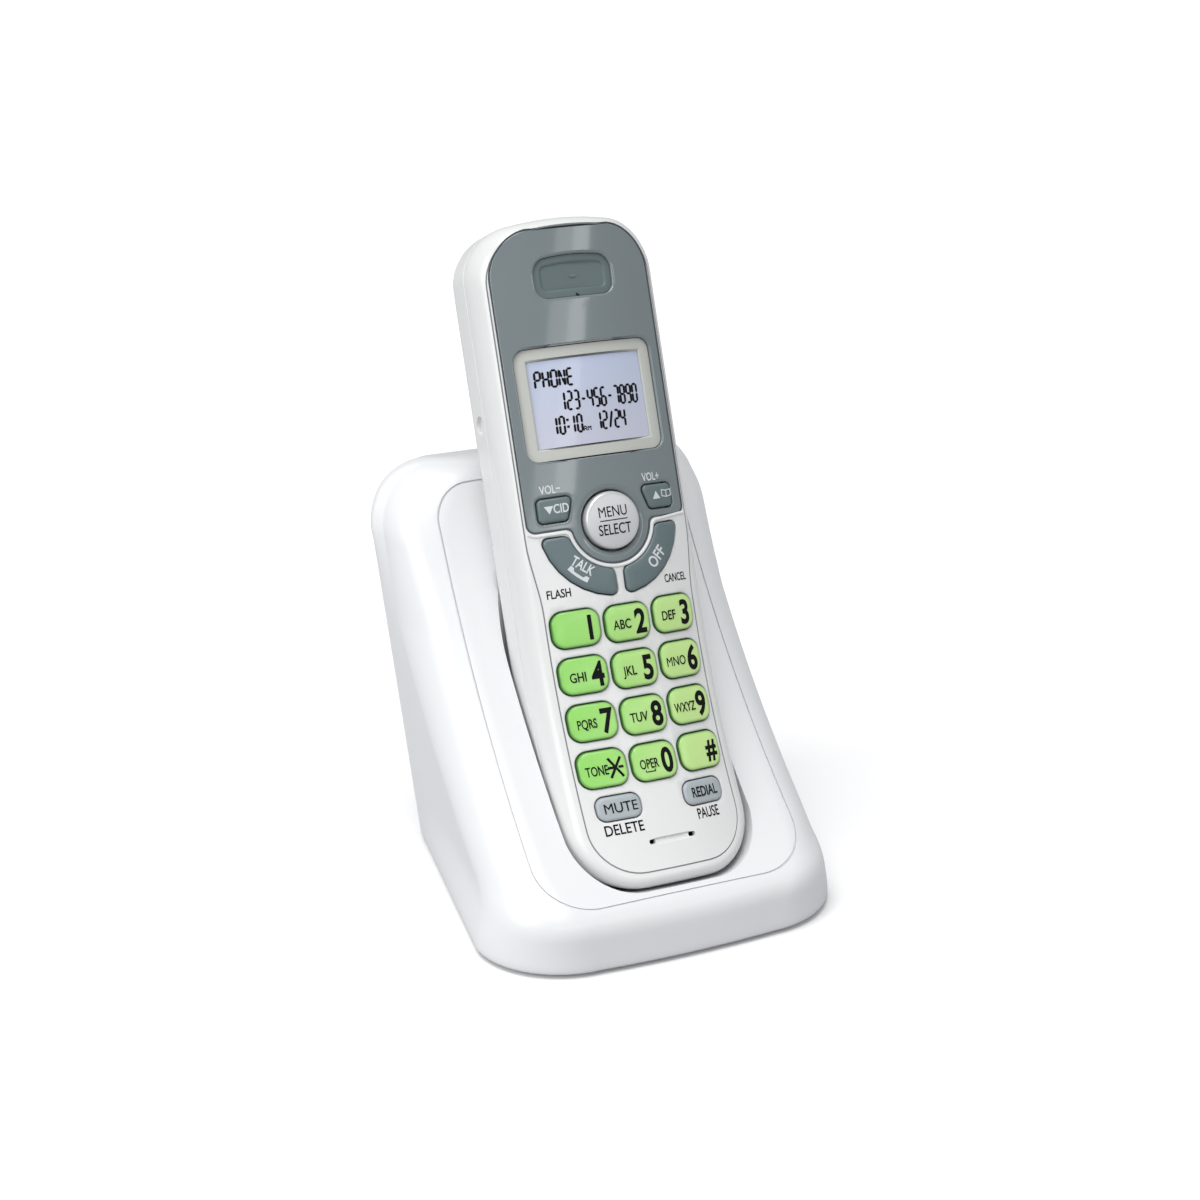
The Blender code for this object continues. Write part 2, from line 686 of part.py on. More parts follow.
def make_insides(bench):
    board = box((-19.0, BOARD_DEPTH, -42.0), (19.0, BOARD_DEPTH + BOARD_THICKNESS, 78.0))
    bench.piece("handset_board", board, "board_green")
    flat = (HALF_WIDTH - CORNER_LOW) ** 2 / (2 * CROWN_RADIUS)  # the wall is flat between its low corners
    near = face(0, MIC_Z) + WALL + flat + MIC_GAP
    centre = (0, near + MIC_SIZE[1] / 2, MIC_Z)
    bench.piece("microphone", cylinder(centre, MIC_SIZE[0], MIC_SIZE[1], (0, 1, 0)), "black")
    bench.piece("ringer", cylinder((0, 14.0, 62.0), 8.0, 4.0, (0, 1, 0)), "black")
    for i, side in enumerate((-1, 1)):
        x = side * (CELL_RADIUS + 0.4)
        y = DEPTH - DOOR_THICKNESS - CELL_GAP - CELL_RADIUS
        shape = cylinder((x, y, CELL_CENTRE), CELL_RADIUS, CELL_LENGTH, (0, 0, 1))
        cell = bench.piece(f"battery_{i + 1}", shape, "cell_wrap")
        bevel(cell, 0.6, 1)
        low = CELL_CENTRE + CELL_LENGTH / 2 + FIT
        bench.piece(f"battery_contact_{i + 1}", box((x - 4, y - 4, low), (x + 4, y + 4, low + 0.8)), "nickel")


def make_contacts(bench, rear):
    """The two charging contacts, flush with the handset's lower end."""
    for i, side in enumerate((-1, 1)):
        x = side * CONTACT_OFFSET
        half = CONTACT_WIDTH / 2
        low = (x - half, CONTACT_DEPTH - 2.0, BOTTOM - 1)
        high = (x + half, CONTACT_DEPTH + 4.5, BOTTOM + 6)
        strip = bench.piece(f"charge_contact_{i + 1}", loft(rear_shell_rings(), "none ladder"), "nickel")
        solidify(strip, REAR_WALL)
        boolean(strip, bench.cutter(f"keep_contact_{i + 1}", box(low, high)), "INTERSECT")
        low = [v - FIT for v in low[:2]] + [low[2] - 1]
        high = [v + FIT for v in high]
        boolean(rear, bench.cutter(f"cut_contact_{i + 1}", box(low, high)))


def make_handset(bench):
    keys = key_list()
    make_front(bench, keys)
    make_display(bench)
    make_earpiece(bench)
    make_keys(bench, keys)
    make_contacts(bench, make_rear(bench))
    make_insides(bench)


# ---- base surfaces --------------------------------------------------------------------------------
def panel_line():
    """The panel's chord: its foot, its direction, its outward normal and its length, in (y, z)."""
    foot = Vector(PANEL_FOOT)
    along = Vector(PANEL_HEAD) - foot
    direction = along.normalized()
    return foot, direction, Vector((-direction.y, direction.x)), along.length


def panel_arc():
    """Centre and radius of the panel's hollow profile."""
    foot, direction, outward, length = panel_line()
    radius = length * length / (8 * PANEL_SAG) + PANEL_SAG / 2
    return foot + direction * (length / 2) + outward * (radius - PANEL_SAG), radius


def ease(value, low, high):
    """0 up to low, 1 from high on, and smooth between."""
    share = min(1.0, max(0.0, (value - low) / (high - low)))
    return share * share * (3 - 2 * share)


def quarter(value, start, size):
    """How far a quarter ellipse of that size has turned in, 0 at start and 1 at start + size."""
    share = min(1.0, max(0.0, (value - start) / size))
    return 1 - math.sqrt(1 - share * share)


def base_front(z):
    """y of the base's front, on its centre line."""
    centre, radius = panel_arc()
    foot = Vector(PANEL_FOOT)
    if z < foot.y:
        nose = foot + (foot - centre).normalized() * NOSE_RADIUS
        rise = max(0.0, z - nose.y)
        return nose.x - math.sqrt(NOSE_RADIUS ** 2 - rise ** 2) - PANEL_CROWN
    start = BASE_HEIGHT - TOP_FRONT_EDGE[1]
    on_arc = min(z, start)
    y = centre.x + math.sqrt(radius ** 2 - (on_arc - centre.y) ** 2) - PANEL_CROWN
    slope = (centre.y - on_arc) / math.sqrt(radius ** 2 - (on_arc - centre.y) ** 2)
    return y + max(0.0, z - start) * slope + TOP_FRONT_EDGE[0] * quarter(z, start, TOP_FRONT_EDGE[1])


def base_rear(z):
    lean = REAR_LOW + (REAR_HIGH - REAR_LOW) * z / BASE_HEIGHT
    return lean - TOP_REAR_EDGE * quarter(z, BASE_HEIGHT - TOP_REAR_EDGE, TOP_REAR_EDGE)


def base_half_widths(z):
    """Half the width at the front corners and at the back corners."""
    front = FOOT_HALF_WIDTH + (WAIST_HALF_WIDTH - FOOT_HALF_WIDTH) * ease(z, LOWER_EDGE, WAIST_HEIGHT)
    share = min(1.0, z / TOP_SHARE_HEIGHT)
    rear = HEEL_HALF_WIDTH + (REAR_HALF_WIDTH - HEEL_HALF_WIDTH) * share
    corner = TOP_CORNER * quarter(z, BASE_HEIGHT - TOP_CORNER, TOP_CORNER)
    return front - corner, rear - corner


def base_ring(z, inset=0.0, level=None):
    """A level section of the base at height z, drawn in by inset and placed at another level."""
    front, rear = base_front(z) + inset, base_rear(z) - inset
    half_front, half_rear = (half - inset for half in base_half_widths(z))
    depth = rear - front
    share = ease(z, 3.0, WAIST_HEIGHT + 6.0)
    across, along = (low + (high - low) * share - inset / 2 for low, high in zip(FOOT_SHOULDER, SHOULDER))
    along = min(along, depth * 0.5)
    corner = min(REAR_CORNER - inset / 2, depth * 0.35)
    flat = half_front - across
    side = front + PANEL_CROWN * 1.2
    right = [(flat * i / 3, front + PANEL_CROWN * 1.2 * (i / 3) ** 2) for i in range(4)]
    for i in range(1, 7):
        angle = math.radians(15 * i)
        right.append((flat + across * math.sin(angle), side + along * (1 - math.cos(angle))))
    for i in range(4):
        angle = math.radians(30 * i)
        right.append((half_rear - corner * (1 - math.cos(angle)), rear - corner * (1 - math.sin(angle))))
    left = [(-x, y) for x, y in reversed(right[1:])]
    height = z if level is None else level
    return [(x, y, height) for x, y in right + left]


def base_levels():
    foot_z, head_z = PANEL_FOOT[1], BASE_HEIGHT - TOP_CORNER
    levels = [FLOOR_GAP + LOWER_EDGE, 6.0, 9.0, 12.0]
    levels += [foot_z + (head_z - foot_z) * i / 10 for i in range(11)]
    return levels + [BASE_HEIGHT - TOP_CORNER * math.cos(math.radians(a)) for a in (20, 40, 55, 68, 80, 90)]


def base_body():
    rings = [base_ring(LOWER_EDGE, LOWER_EDGE * turn, FLOOR_GAP + LOWER_EDGE * rise)
             for turn, rise in ((0.75, 0.0), (0.3, 0.3))]
    rings += [base_ring(z) for z in base_levels()]
    return loft(rings)


def base_hollow():
    """The room inside the base's walls, open below."""
    top = BASE_HEIGHT - 9.0
    rings = [base_ring(LOWER_EDGE, UNDERSIDE_INSET, -5.0), base_ring(LOWER_EDGE, UNDERSIDE_INSET)]
    rings += [base_ring(z, BASE_WALL) for z in base_levels() if z < top]
    return loft(rings)


def panel_point(x, along, out):
    foot, direction, outward, length = panel_line()
    place = foot + direction * along + outward * out
    return (x, place.x, place.y)


def panel_prism(inset):
    """A block through the panel's outline, across its chord."""
    length = panel_line()[3]
    outline = rounded_outline(PANEL_HALF_LOW, 0, length, PANEL_CORNER_LOW, PANEL_CORNER_HIGH, inset, 6)
    narrowing = (PANEL_HALF_LOW - PANEL_HALF_HIGH) / PANEL_HALF_LOW
    tapered = [(x * (1 - narrowing * s / length), s) for x, s in outline]
    return loft([[panel_point(x, s, out) for x, s in tapered] for out in (-14.0, 12.0)])


def handset_half_width(z):
    short = max(0.0, BOTTOM + CORNER_LOW - z)
    return HALF_WIDTH - CORNER_LOW + math.sqrt(max(0.0, CORNER_LOW ** 2 - short ** 2))


def handset_back_edge(z):
    short = max(0.0, BOTTOM + BACK_EDGE - z)
    return back(z) - BACK_EDGE + math.sqrt(max(0.0, BACK_EDGE ** 2 - short ** 2))


def well(margin, sink):
    """The handset's lower end, grown by a margin and open to the front, as it is lifted out."""
    rings = []
    heights = (0.0, 0.8, 2.5, 5.0, 8.5, 14.0, 22.0, 32.0, 45.0)
    for rise in heights + (WELL_TOP - BOTTOM,):
        z = BOTTOM + rise
        half = handset_half_width(z) + margin
        rear = max(handset_back_edge(BOTTOM + r) for r in heights + (rise,) if r <= rise) + margin
        corner = min(8.0, half / 2, (rear - WELL_FRONT) / 2)
        right = [(half, WELL_FRONT)] + arc((half - corner, rear - corner), corner, 0, 90, 4)
        outline = right + [(-x, y) for x, y in reversed(right)]
        rings.append([(x, y, z - sink) for x, y in outline])
    return loft(rings)


# ---- base -----------------------------------------------------------------------------------------
def make_housing(bench, handset):
    housing = bench.piece("base_housing", base_body(), "white_gloss")
    boolean(housing, bench.cutter("cut_hollow", base_hollow()))
    boolean(housing, bench.cutter("cut_panel", panel_prism(0.0)))

    room = bench.cutter("room_round_well", base_hollow())
    boolean(room, handset.cutter("well_outside", well(WELL_CLEARANCE + WELL_WALL, SEAT_GAP + WELL_WALL)))
    panel = bench.piece("cradle_panel", panel_prism(GROOVE), "white_gloss")
    boolean(panel, bench.cutter("keep_panel", base_body()), "INTERSECT")
    boolean(panel, room)
    boolean(panel, handset.cutter("well_inside", well(WELL_CLEARANCE, SEAT_GAP)))
    pin_hole = PIN_RADIUS + FIT
    pins = [cylinder((x, CONTACT_DEPTH, BOTTOM - SEAT_GAP), pin_hole, 12, (0, 0, 1), 16)
            for x in (-CONTACT_OFFSET, CONTACT_OFFSET)]
    boolean(panel, handset.cutter("cut_pins", joined(pins)))
    place = Vector(panel_point(0, FIND_KEY_PLACE, -PANEL_SAG / 2))
    outward = Vector(panel_point(0, 0, 1)) - Vector(panel_point(0, 0, 0))
    boolean(panel, bench.cutter("cut_find_key",
                                cylinder(place, FIND_KEY_RADIUS + FIT, 20, outward)))
    return housing


def make_find_key(bench):
    """The key that rings the handset, high on the panel."""
    surface = find_key_surface()
    foot, direction, outward, length = panel_line()
    tilt = math.atan2(outward.x, outward.y)
    top = FIND_KEY_RISE
    profile = ((0.0, top), (FIND_KEY_RADIUS - 0.8, top), (FIND_KEY_RADIUS, top - 0.8),
               (FIND_KEY_RADIUS, -3.4), (0.0, -3.4))
    key = turned("find_handset_key", profile, bench.parts, None, 24)
    key.location = Vector(surface) * MM
    key.rotation_euler = (-tilt, 0, 0)
    key.data.materials.append(material("blue_grey_key"))


def find_key_surface():
    """Where the find key's axis leaves the panel."""
    centre, radius = panel_arc()
    foot, direction, outward, length = panel_line()
    offset = FIND_KEY_PLACE - length / 2
    out = (radius - PANEL_SAG) - math.sqrt(radius ** 2 - offset ** 2)
    return panel_point(0, FIND_KEY_PLACE, out + PANEL_CROWN * direction.y)


def make_pins(handset):
    """The sprung charging pins, along the handset's length."""
    profile = ((0.0, 0.0), (PIN_RADIUS * 0.6, -0.15), (PIN_RADIUS, -0.7), (PIN_RADIUS, -PIN_SHANK),
               (0.0, -PIN_SHANK))
    for i, side in enumerate((-1, 1)):
        pin = turned(f"charge_pin_{i + 1}", profile, handset.parts, handset.frame, 16)
        pin.location = Vector((side * CONTACT_OFFSET, CONTACT_DEPTH, BOTTOM - FIT)) * MM
        pin.data.materials.append(material("nickel"))


def make_underside(bench):
    ring = [(x, y) for x, y, z in base_ring(LOWER_EDGE, UNDERSIDE_INSET + FIT)]
    levels = (UNDERSIDE, UNDERSIDE + BASE_PLATE_THICKNESS)
    plate = bench.piece("base_plate", loft([[(x, y, z) for x, y in ring] for z in levels]), "white_gloss")
    pockets = []
    for i, (x, y) in enumerate(FOOT_PLACES):
        foot = bench.piece(f"foot_{i + 1}", cylinder((x, y, FOOT_THICKNESS / 2), FOOT_RADIUS, FOOT_THICKNESS,
                                                     (0, 0, 1)), "rubber")
        bevel(foot, 0.3, 1)
        pockets.append(cylinder((x, y, 0), FOOT_RADIUS + FIT, 2 * (FOOT_THICKNESS + FIT), (0, 0, 1)))
    boolean(plate, bench.cutter("cut_feet", joined(pockets)))
    top = UNDERSIDE + BASE_PLATE_THICKNESS + 1.0
    bench.piece("base_board", box((-26, -17, top), (26, 19, top + 1.2)), "board_green")


def make_jacks(bench, housing):
    """The line socket and the power inlet, in the back."""
    face_y = base_rear(JACK_Z) - 0.6
    across, up, deep = LINE_SOCKET
    half_w, half_h = across / 2 + JACK_WALL, up / 2 + JACK_WALL
    low = (LINE_JACK_X - half_w, face_y - deep - JACK_WALL, JACK_Z - half_h)
    high = (LINE_JACK_X + half_w, face_y, JACK_Z + half_h)
    jack = bench.piece("line_jack", box(low, high), "black")
    socket = box((LINE_JACK_X - across / 2, face_y - deep, JACK_Z - up / 2),
                 (LINE_JACK_X + across / 2, face_y + 5, JACK_Z + up / 2))
    boolean(jack, bench.cutter("cut_socket", socket))

    side = POWER_SOCKET_RADIUS + JACK_WALL
    length = POWER_SOCKET_DEPTH + JACK_WALL
    power_low = (POWER_JACK_X - side, face_y - length, JACK_Z - side)
    power_high = (POWER_JACK_X + side, face_y, JACK_Z + side)
    inlet = bench.piece("power_jack", box(power_low, power_high), "black")
    mouth = cylinder((POWER_JACK_X, face_y, JACK_Z), POWER_SOCKET_RADIUS, 2 * POWER_SOCKET_DEPTH, (0, 1, 0))
    hollow = bench.cutter("cut_inlet", mouth)
    pin = cylinder((POWER_JACK_X, face_y - length + POWER_SOCKET_DEPTH / 2, JACK_Z), POWER_PIN_RADIUS,
                   POWER_SOCKET_DEPTH + 1.0, (0, 1, 0), 12)
    boolean(hollow, bench.cutter("keep_pin", pin))
    boolean(inlet, hollow)

    holes = []
    for low_corner, high_corner in ((low, high), (power_low, power_high)):
        holes.append(box([v - FIT for v in low_corner],
                         [high_corner[0] + FIT, high_corner[1] + 9, high_corner[2] + FIT]))
    boolean(housing, bench.cutter("cut_jacks", joined(holes)))


def main():
    clear_scene()
    parts = collection("cordless_phone")
    cutters = collection("cutters")
    frame = bpy.data.objects.new("handset_frame", None)
    parts.objects.link(frame)
    frame.location = Vector(HANDSET_ORIGIN) * MM
    frame.rotation_euler = (-RECLINE, 0, 0)
    handset = Bench(parts, cutters, frame)
    base = Bench(parts, cutters)
    make_handset(handset)
    housing = make_housing(base, handset)
    make_find_key(base)
    make_pins(handset)
    make_underside(base)
    make_jacks(base, housing)


main()
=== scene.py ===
"""A cordless telephone in its charging base: finished shells, keys, display and printed legends.

The handset's pieces are drawn upright in millimetres, in a frame of its own: x across, y in from
the face, z up. They are then leaned back into the base. The base is drawn in the world's frame.
"""
import json
import math

import bmesh
import bpy
from mathutils import Matrix, Vector

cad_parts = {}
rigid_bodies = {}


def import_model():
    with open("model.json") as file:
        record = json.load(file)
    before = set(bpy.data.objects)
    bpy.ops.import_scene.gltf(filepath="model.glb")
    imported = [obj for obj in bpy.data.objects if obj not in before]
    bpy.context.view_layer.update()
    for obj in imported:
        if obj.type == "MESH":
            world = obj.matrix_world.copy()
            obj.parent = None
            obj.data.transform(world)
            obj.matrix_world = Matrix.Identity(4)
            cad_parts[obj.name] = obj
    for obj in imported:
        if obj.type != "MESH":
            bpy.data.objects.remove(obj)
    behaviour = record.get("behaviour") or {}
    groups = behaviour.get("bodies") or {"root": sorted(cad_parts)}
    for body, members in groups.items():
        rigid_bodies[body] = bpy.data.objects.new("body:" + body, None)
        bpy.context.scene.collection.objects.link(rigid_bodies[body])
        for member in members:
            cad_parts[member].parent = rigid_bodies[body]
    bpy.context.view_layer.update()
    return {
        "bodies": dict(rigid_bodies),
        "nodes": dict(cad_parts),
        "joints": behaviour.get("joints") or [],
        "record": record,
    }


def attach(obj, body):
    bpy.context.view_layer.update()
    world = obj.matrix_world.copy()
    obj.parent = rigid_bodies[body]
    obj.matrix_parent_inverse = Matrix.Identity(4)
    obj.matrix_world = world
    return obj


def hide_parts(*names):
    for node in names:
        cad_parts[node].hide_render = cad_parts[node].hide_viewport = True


MM = 0.001

# ---- the handset's frame ----
RECLINE = math.radians(21.5)
SEAT = Vector((0.0, -14.0, 72.8))
UPRIGHT = Matrix.Identity(4)
LEANING = Matrix.Translation(SEAT) @ Matrix.Rotation(-RECLINE, 4, "X")

# ---- handset shells ----
HALF_WIDTH = 23.8
BOTTOM, TOP = -63.4, 99.0
DEPTH = 27.0
CORNER_LOW, CORNER_HIGH, FACE_CORNER_HIGH = 15.5, 10.0, 13.0
TOP_ARCH = 3.0
FACE_EDGE = (3.2, 6.2)
BACK_EDGE = 8.0
CROWN_RADIUS = 59.0
BEND_RADIUS = 175.0
BACK_BEND = (-10.0, 75.0)
BACK_NOD = (80.0, 120.0)
FIT = 0.3
WALL = 1.8
REAR_WALL = 2.4
EDGE_BREAK = 0.12
INNERMOST = 22.5  # inset of the last row before the middle line
MIDDLE_MARGIN = 24.0  # between the middle line's ends and the handset's
BACK_INSETS = (10.0, 12.5, 15.0, 17.5, 20.0, INNERMOST)
RIM_LINE_HIGH, RIM_LINE_LOW = 2.55, 4.1
RIM_LINE_WIDTH, RIM_LINE_DEPTH = 0.42, 0.3

# ---- faceplate, display and earpiece ----
MENU_Z = 24.5
MENU_RADIUS = 7.0
PLATE_INSET = 3.3
PLATE_LIFT = 0.9
PLATE_LOW = 24.0
PLATE_COLLAR = 10.2
PLATE_THICKNESS = 1.3
WINDOW = (17.7, 40.6, 67.6)
BEZEL_BORDER = 2.6
BEZEL_DEPTH = 0.9
EAR_Z, EAR_HALF = 84.2, (10.0, 5.0)
EAR_SLOT, EAR_TONGUE = (5.4, 1.4), (1.9, 0.75)

# ---- keys ----
COLUMN_PITCH, ROW_PITCH = 12.85, 11.28
MIDDLE_DROP = 0.35
KEY_SIZE, KEY_CORNER = (11.5, 8.7), 2.9
SMALL_KEY_SIZE, SMALL_KEY_CENTRE = (10.6, 5.6), (11.1, -43.4)
KEY_RISE, KEY_DEPTH = 0.9, 3.0
KEY_CLEARANCE = 0.3
RING_INNER, RING_OUTER = 11.6, 17.9
MIC_X, MIC_Z = 5.2, -52.6
MIC_HOLE, MIC_SLIT = (1.7, 1.15), (10.4, 1.2)
DOME_RADIUS, DOME_TOP, DOME_FALL = 6.1, KEY_RISE + 0.55, 0.3

# ---- battery door ----
DOOR = (15.5, -26.0, 31.0)
DOOR_THICKNESS = 1.1
DOOR_LEDGE = 2.0
DOOR_TRAVEL = 6.0
BACK_CUT = 15.0  # cutters through the back start at this depth
RINGER_Z, RINGER_PITCH = 62.0, 2.6

# ---- base ----
FLOOR_GAP = 0.8
BASE_HEIGHT = 101.4
BASE_WALL = 3.0
PANEL_FOOT, PANEL_HEAD = Vector((-47.6, 15.6)), Vector((30.3, 98.3))
PANEL_SAG, PANEL_CROWN = 6.3, 0.8
PANEL_HALF_LOW, PANEL_HALF_HIGH = 35.3, 33.2
PANEL_CORNER_LOW, PANEL_CORNER_HIGH = 14.0, 10.0
NOSE_RADIUS = 7.0
REAR_LOW, REAR_HIGH = 42.0, 52.0
FOOT_HALF_WIDTH, WAIST_HALF_WIDTH, REAR_HALF_WIDTH, HEEL_HALF_WIDTH = 46.5, 43.8, 45.4, 37.5
WAIST_HEIGHT = 18.0
TOP_CORNER, REAR_CORNER = 17.0, 11.0
SHOULDER, FOOT_SHOULDER = (13.0, 21.0), (23.0, 21.0)
LOWER_EDGE = 1.4
TOP_FRONT_EDGE, TOP_REAR_EDGE = (3.0, 4.0), 8.0
TOP_SHARE_HEIGHT = 85.0
GROOVE = 0.5
WELL_CLEARANCE, WELL_WALL, WELL_FRONT, WELL_TOP = 0.8, 2.8, -14.0, 60.0
SEAT_GAP = 0.4
CONTACT_X, CONTACT_DEPTH, CONTACT_WIDTH, PIN_RADIUS = 7.5, 0.6, 4.4, 1.5
FIND_KEY_PLACE, FIND_KEY_RADIUS, FIND_KEY_RISE = 104.0, 4.5, 1.0
FOOT_RADIUS, FOOT_THICKNESS = 4.5, 1.8
FOOT_PLACES = ((-34.0, -33.0), (34.0, -33.0), (-25.0, 25.0), (25.0, 25.0))
UNDERSIDE, UNDERSIDE_INSET, BASE_PLATE_THICKNESS = 1.1, 4.4, 2.0
JACK_Z, JACK_WALL = 16.0, 2.0
BEHIND = 60.0  # a depth well behind the base
VENT_ROWS, VENT_PITCH, VENT_SIZE = (-22.0, 14.0), 3.2, (1.2, 9.0)
SCREW_PLACES = ((-19.0, -30.0), (-13.0, 30.0), (19.0, -30.0), (13.0, 30.0))
HANGER_X, LABEL_SIZE = 30.0, (44.0, 20.0)
LINE_JACK_X, LINE_SOCKET = 12.0, (9.8, 7.0, 9.0)
POWER_JACK_X, POWER_SOCKET_RADIUS = -12.0, 2.75

CUT_FAR, CUT_NEAR = 32.0, -16.0
LETTER_FOOT, LETTER_HEAD = -0.3, 0.382  # of a capital letter of size 1, about its middle


# ---- materials ----
def new_group(name, inputs, outputs):
    """An empty shader node group with float inputs and the outputs named."""
    group = bpy.data.node_groups.new(name, "ShaderNodeTree")
    for label, value in inputs:
        socket = group.interface.new_socket(label, in_out="INPUT", socket_type="NodeSocketFloat")
        socket.default_value = value
    for label, kind in outputs:
        group.interface.new_socket(label, in_out="OUTPUT", socket_type=kind)
    return group


def moulded_skin():
    """The faint unevenness of moulded plastic: a roughness, a normal and a mottle mask."""
    group = new_group("moulded_skin",
                      (("Roughness", 0.25), ("Spread", 0.05), ("Grain", 1500.0), ("Relief", 0.03)),
                      (("Roughness", "NodeSocketFloat"), ("Normal", "NodeSocketVector"),
                       ("Mottle", "NodeSocketFloat")))
    tree = group.nodes
    start, end = tree.new("NodeGroupInput"), tree.new("NodeGroupOutput")
    coordinates = tree.new("ShaderNodeTexCoord")
    fine, broad = tree.new("ShaderNodeTexNoise"), tree.new("ShaderNodeTexNoise")
    broad.inputs["Scale"].default_value = 45.0
    broad.inputs["Detail"].default_value = 4.0
    fine.inputs["Detail"].default_value = 2.0
    centre, shift = tree.new("ShaderNodeMath"), tree.new("ShaderNodeMath")
    centre.operation, shift.operation = "SUBTRACT", "MULTIPLY_ADD"
    centre.inputs[1].default_value = 0.5
    bump = tree.new("ShaderNodeBump")
    bump.inputs["Distance"].default_value = 0.0001
    wires = ((coordinates, "Object", fine, "Vector"), (coordinates, "Object", broad, "Vector"),
             (start, "Grain", fine, "Scale"), (broad, "Fac", centre, 0), (centre, 0, shift, 0),
             (start, "Spread", shift, 1), (start, "Roughness", shift, 2), (fine, "Fac", bump, "Height"),
             (start, "Relief", bump, "Strength"), (shift, 0, end, "Roughness"),
             (bump, "Normal", end, "Normal"), (broad, "Fac", end, "Mottle"))
    for giver, output, taker, socket in wires:
        group.links.new(giver.outputs[output], taker.inputs[socket])


def mix_colours(tree, link, factor, first, second):
    """A blend of two colours, each a colour or another node's output."""
    mix = tree.new("ShaderNodeMix")
    mix.data_type = "RGBA"
    mix.inputs["A"].default_value = (*first, 1.0) if isinstance(first, tuple) else (1, 1, 1, 1)
    mix.inputs["B"].default_value = (*second, 1.0) if isinstance(second, tuple) else (1, 1, 1, 1)
    for socket, value in (("A", first), ("B", second)):
        if not isinstance(value, tuple):
            link(value, mix.inputs[socket])
    link(factor, mix.inputs["Factor"])
    return mix.outputs["Result"]


def plastic(name, colour, mottled, roughness=0.25, spread=0.05, grain=1500.0, relief=0.03, coat=0.0,
            metallic=0.0, specular=0.5):
    """A moulded plastic; mottled is the colour that the paler patches drift to."""
    made = bpy.data.materials.new(name)
    made.use_nodes = True
    tree, link = made.node_tree.nodes, made.node_tree.links.new
    shader = tree["Principled BSDF"]
    skin = tree.new("ShaderNodeGroup")
    skin.node_tree = bpy.data.node_groups["moulded_skin"]
    for label, value in (("Roughness", roughness), ("Spread", spread), ("Grain", grain), ("Relief", relief)):
        skin.inputs[label].default_value = value
    link(skin.outputs["Roughness"], shader.inputs["Roughness"])
    link(skin.outputs["Normal"], shader.inputs["Normal"])
    link(mix_colours(tree, link, skin.outputs["Mottle"], colour, mottled), shader.inputs["Base Color"])
    shader.inputs["Metallic"].default_value = metallic
    shader.inputs["Coat Weight"].default_value = coat
    shader.inputs["Coat Roughness"].default_value = 0.05
    shader.inputs["Specular IOR Level"].default_value = specular
    return made


def along_axis(tree, link, axis, low, high):
    """0 to 1 along a world axis, between two places in metres."""
    coordinates = tree.new("ShaderNodeTexCoord")
    split = tree.new("ShaderNodeSeparateXYZ")
    span = tree.new("ShaderNodeMapRange")
    span.interpolation_type = "SMOOTHSTEP"
    span.inputs["From Min"].default_value = low
    span.inputs["From Max"].default_value = high
    link(coordinates.outputs["Object"], split.inputs[0])
    link(split.outputs[axis], span.inputs["Value"])
    return span.outputs["Result"]


def green_key_plastic():
    """Translucent green with painted light: greener to the left and paler to the right, painted shade round
    each key's edge and a faint painted glow.
    """
    made = plastic("green_key", (0.3, 0.6, 0.17), (0.33, 0.63, 0.19), 0.3, 0.06, 1800.0, 0.02, 0.2)
    tree, link = made.node_tree.nodes, made.node_tree.links.new
    shader = tree["Principled BSDF"]
    # Painted light: the keys are painted paler towards the right and greener to the left.
    across = along_axis(tree, link, "X", -0.021, 0.019)
    body = mix_colours(tree, link, across, (0.27, 0.63, 0.13), (0.52, 0.73, 0.28))
    # Painted shade: each key's sides are painted dark green, while its top keeps the body colour.
    top = tree.new("ShaderNodeAttribute")
    top.attribute_name = "unshaded_top"
    painted_rim_shade = mix_colours(tree, link, top.outputs["Fac"], (0.06, 0.2, 0.03), body)
    link(painted_rim_shade, shader.inputs["Base Color"])
    # Painted glow: the key colour, painted shade and all, also glows faintly.
    link(painted_rim_shade, shader.inputs["Emission Color"])
    shader.inputs["Emission Strength"].default_value = 0.05
    shader.inputs["Subsurface Weight"].default_value = 0.15
    shader.inputs["Subsurface Radius"].default_value = (0.001, 0.002, 0.0006)
    return made


def display_panel():
    """The liquid crystal's backing: pale blue, a little more violet lower down, with a faint painted glow."""
    made = plastic("display_panel", (0.56, 0.63, 0.8), (0.55, 0.6, 0.79), 0.35, 0.05, 1200.0, 0.0, 0.6)
    tree, link = made.node_tree.nodes, made.node_tree.links.new
    shader = tree["Principled BSDF"]
    height = along_axis(tree, link, "Z", 0.112, 0.136)
    colour = mix_colours(tree, link, height, (0.48, 0.5, 0.6), (0.45, 0.51, 0.66))
    link(colour, shader.inputs["Base Color"])
    # Painted glow: the backing glows faintly, though no lamp lights it.
    link(colour, shader.inputs["Emission Color"])
    shader.inputs["Emission Strength"].default_value = 0.08
    return made


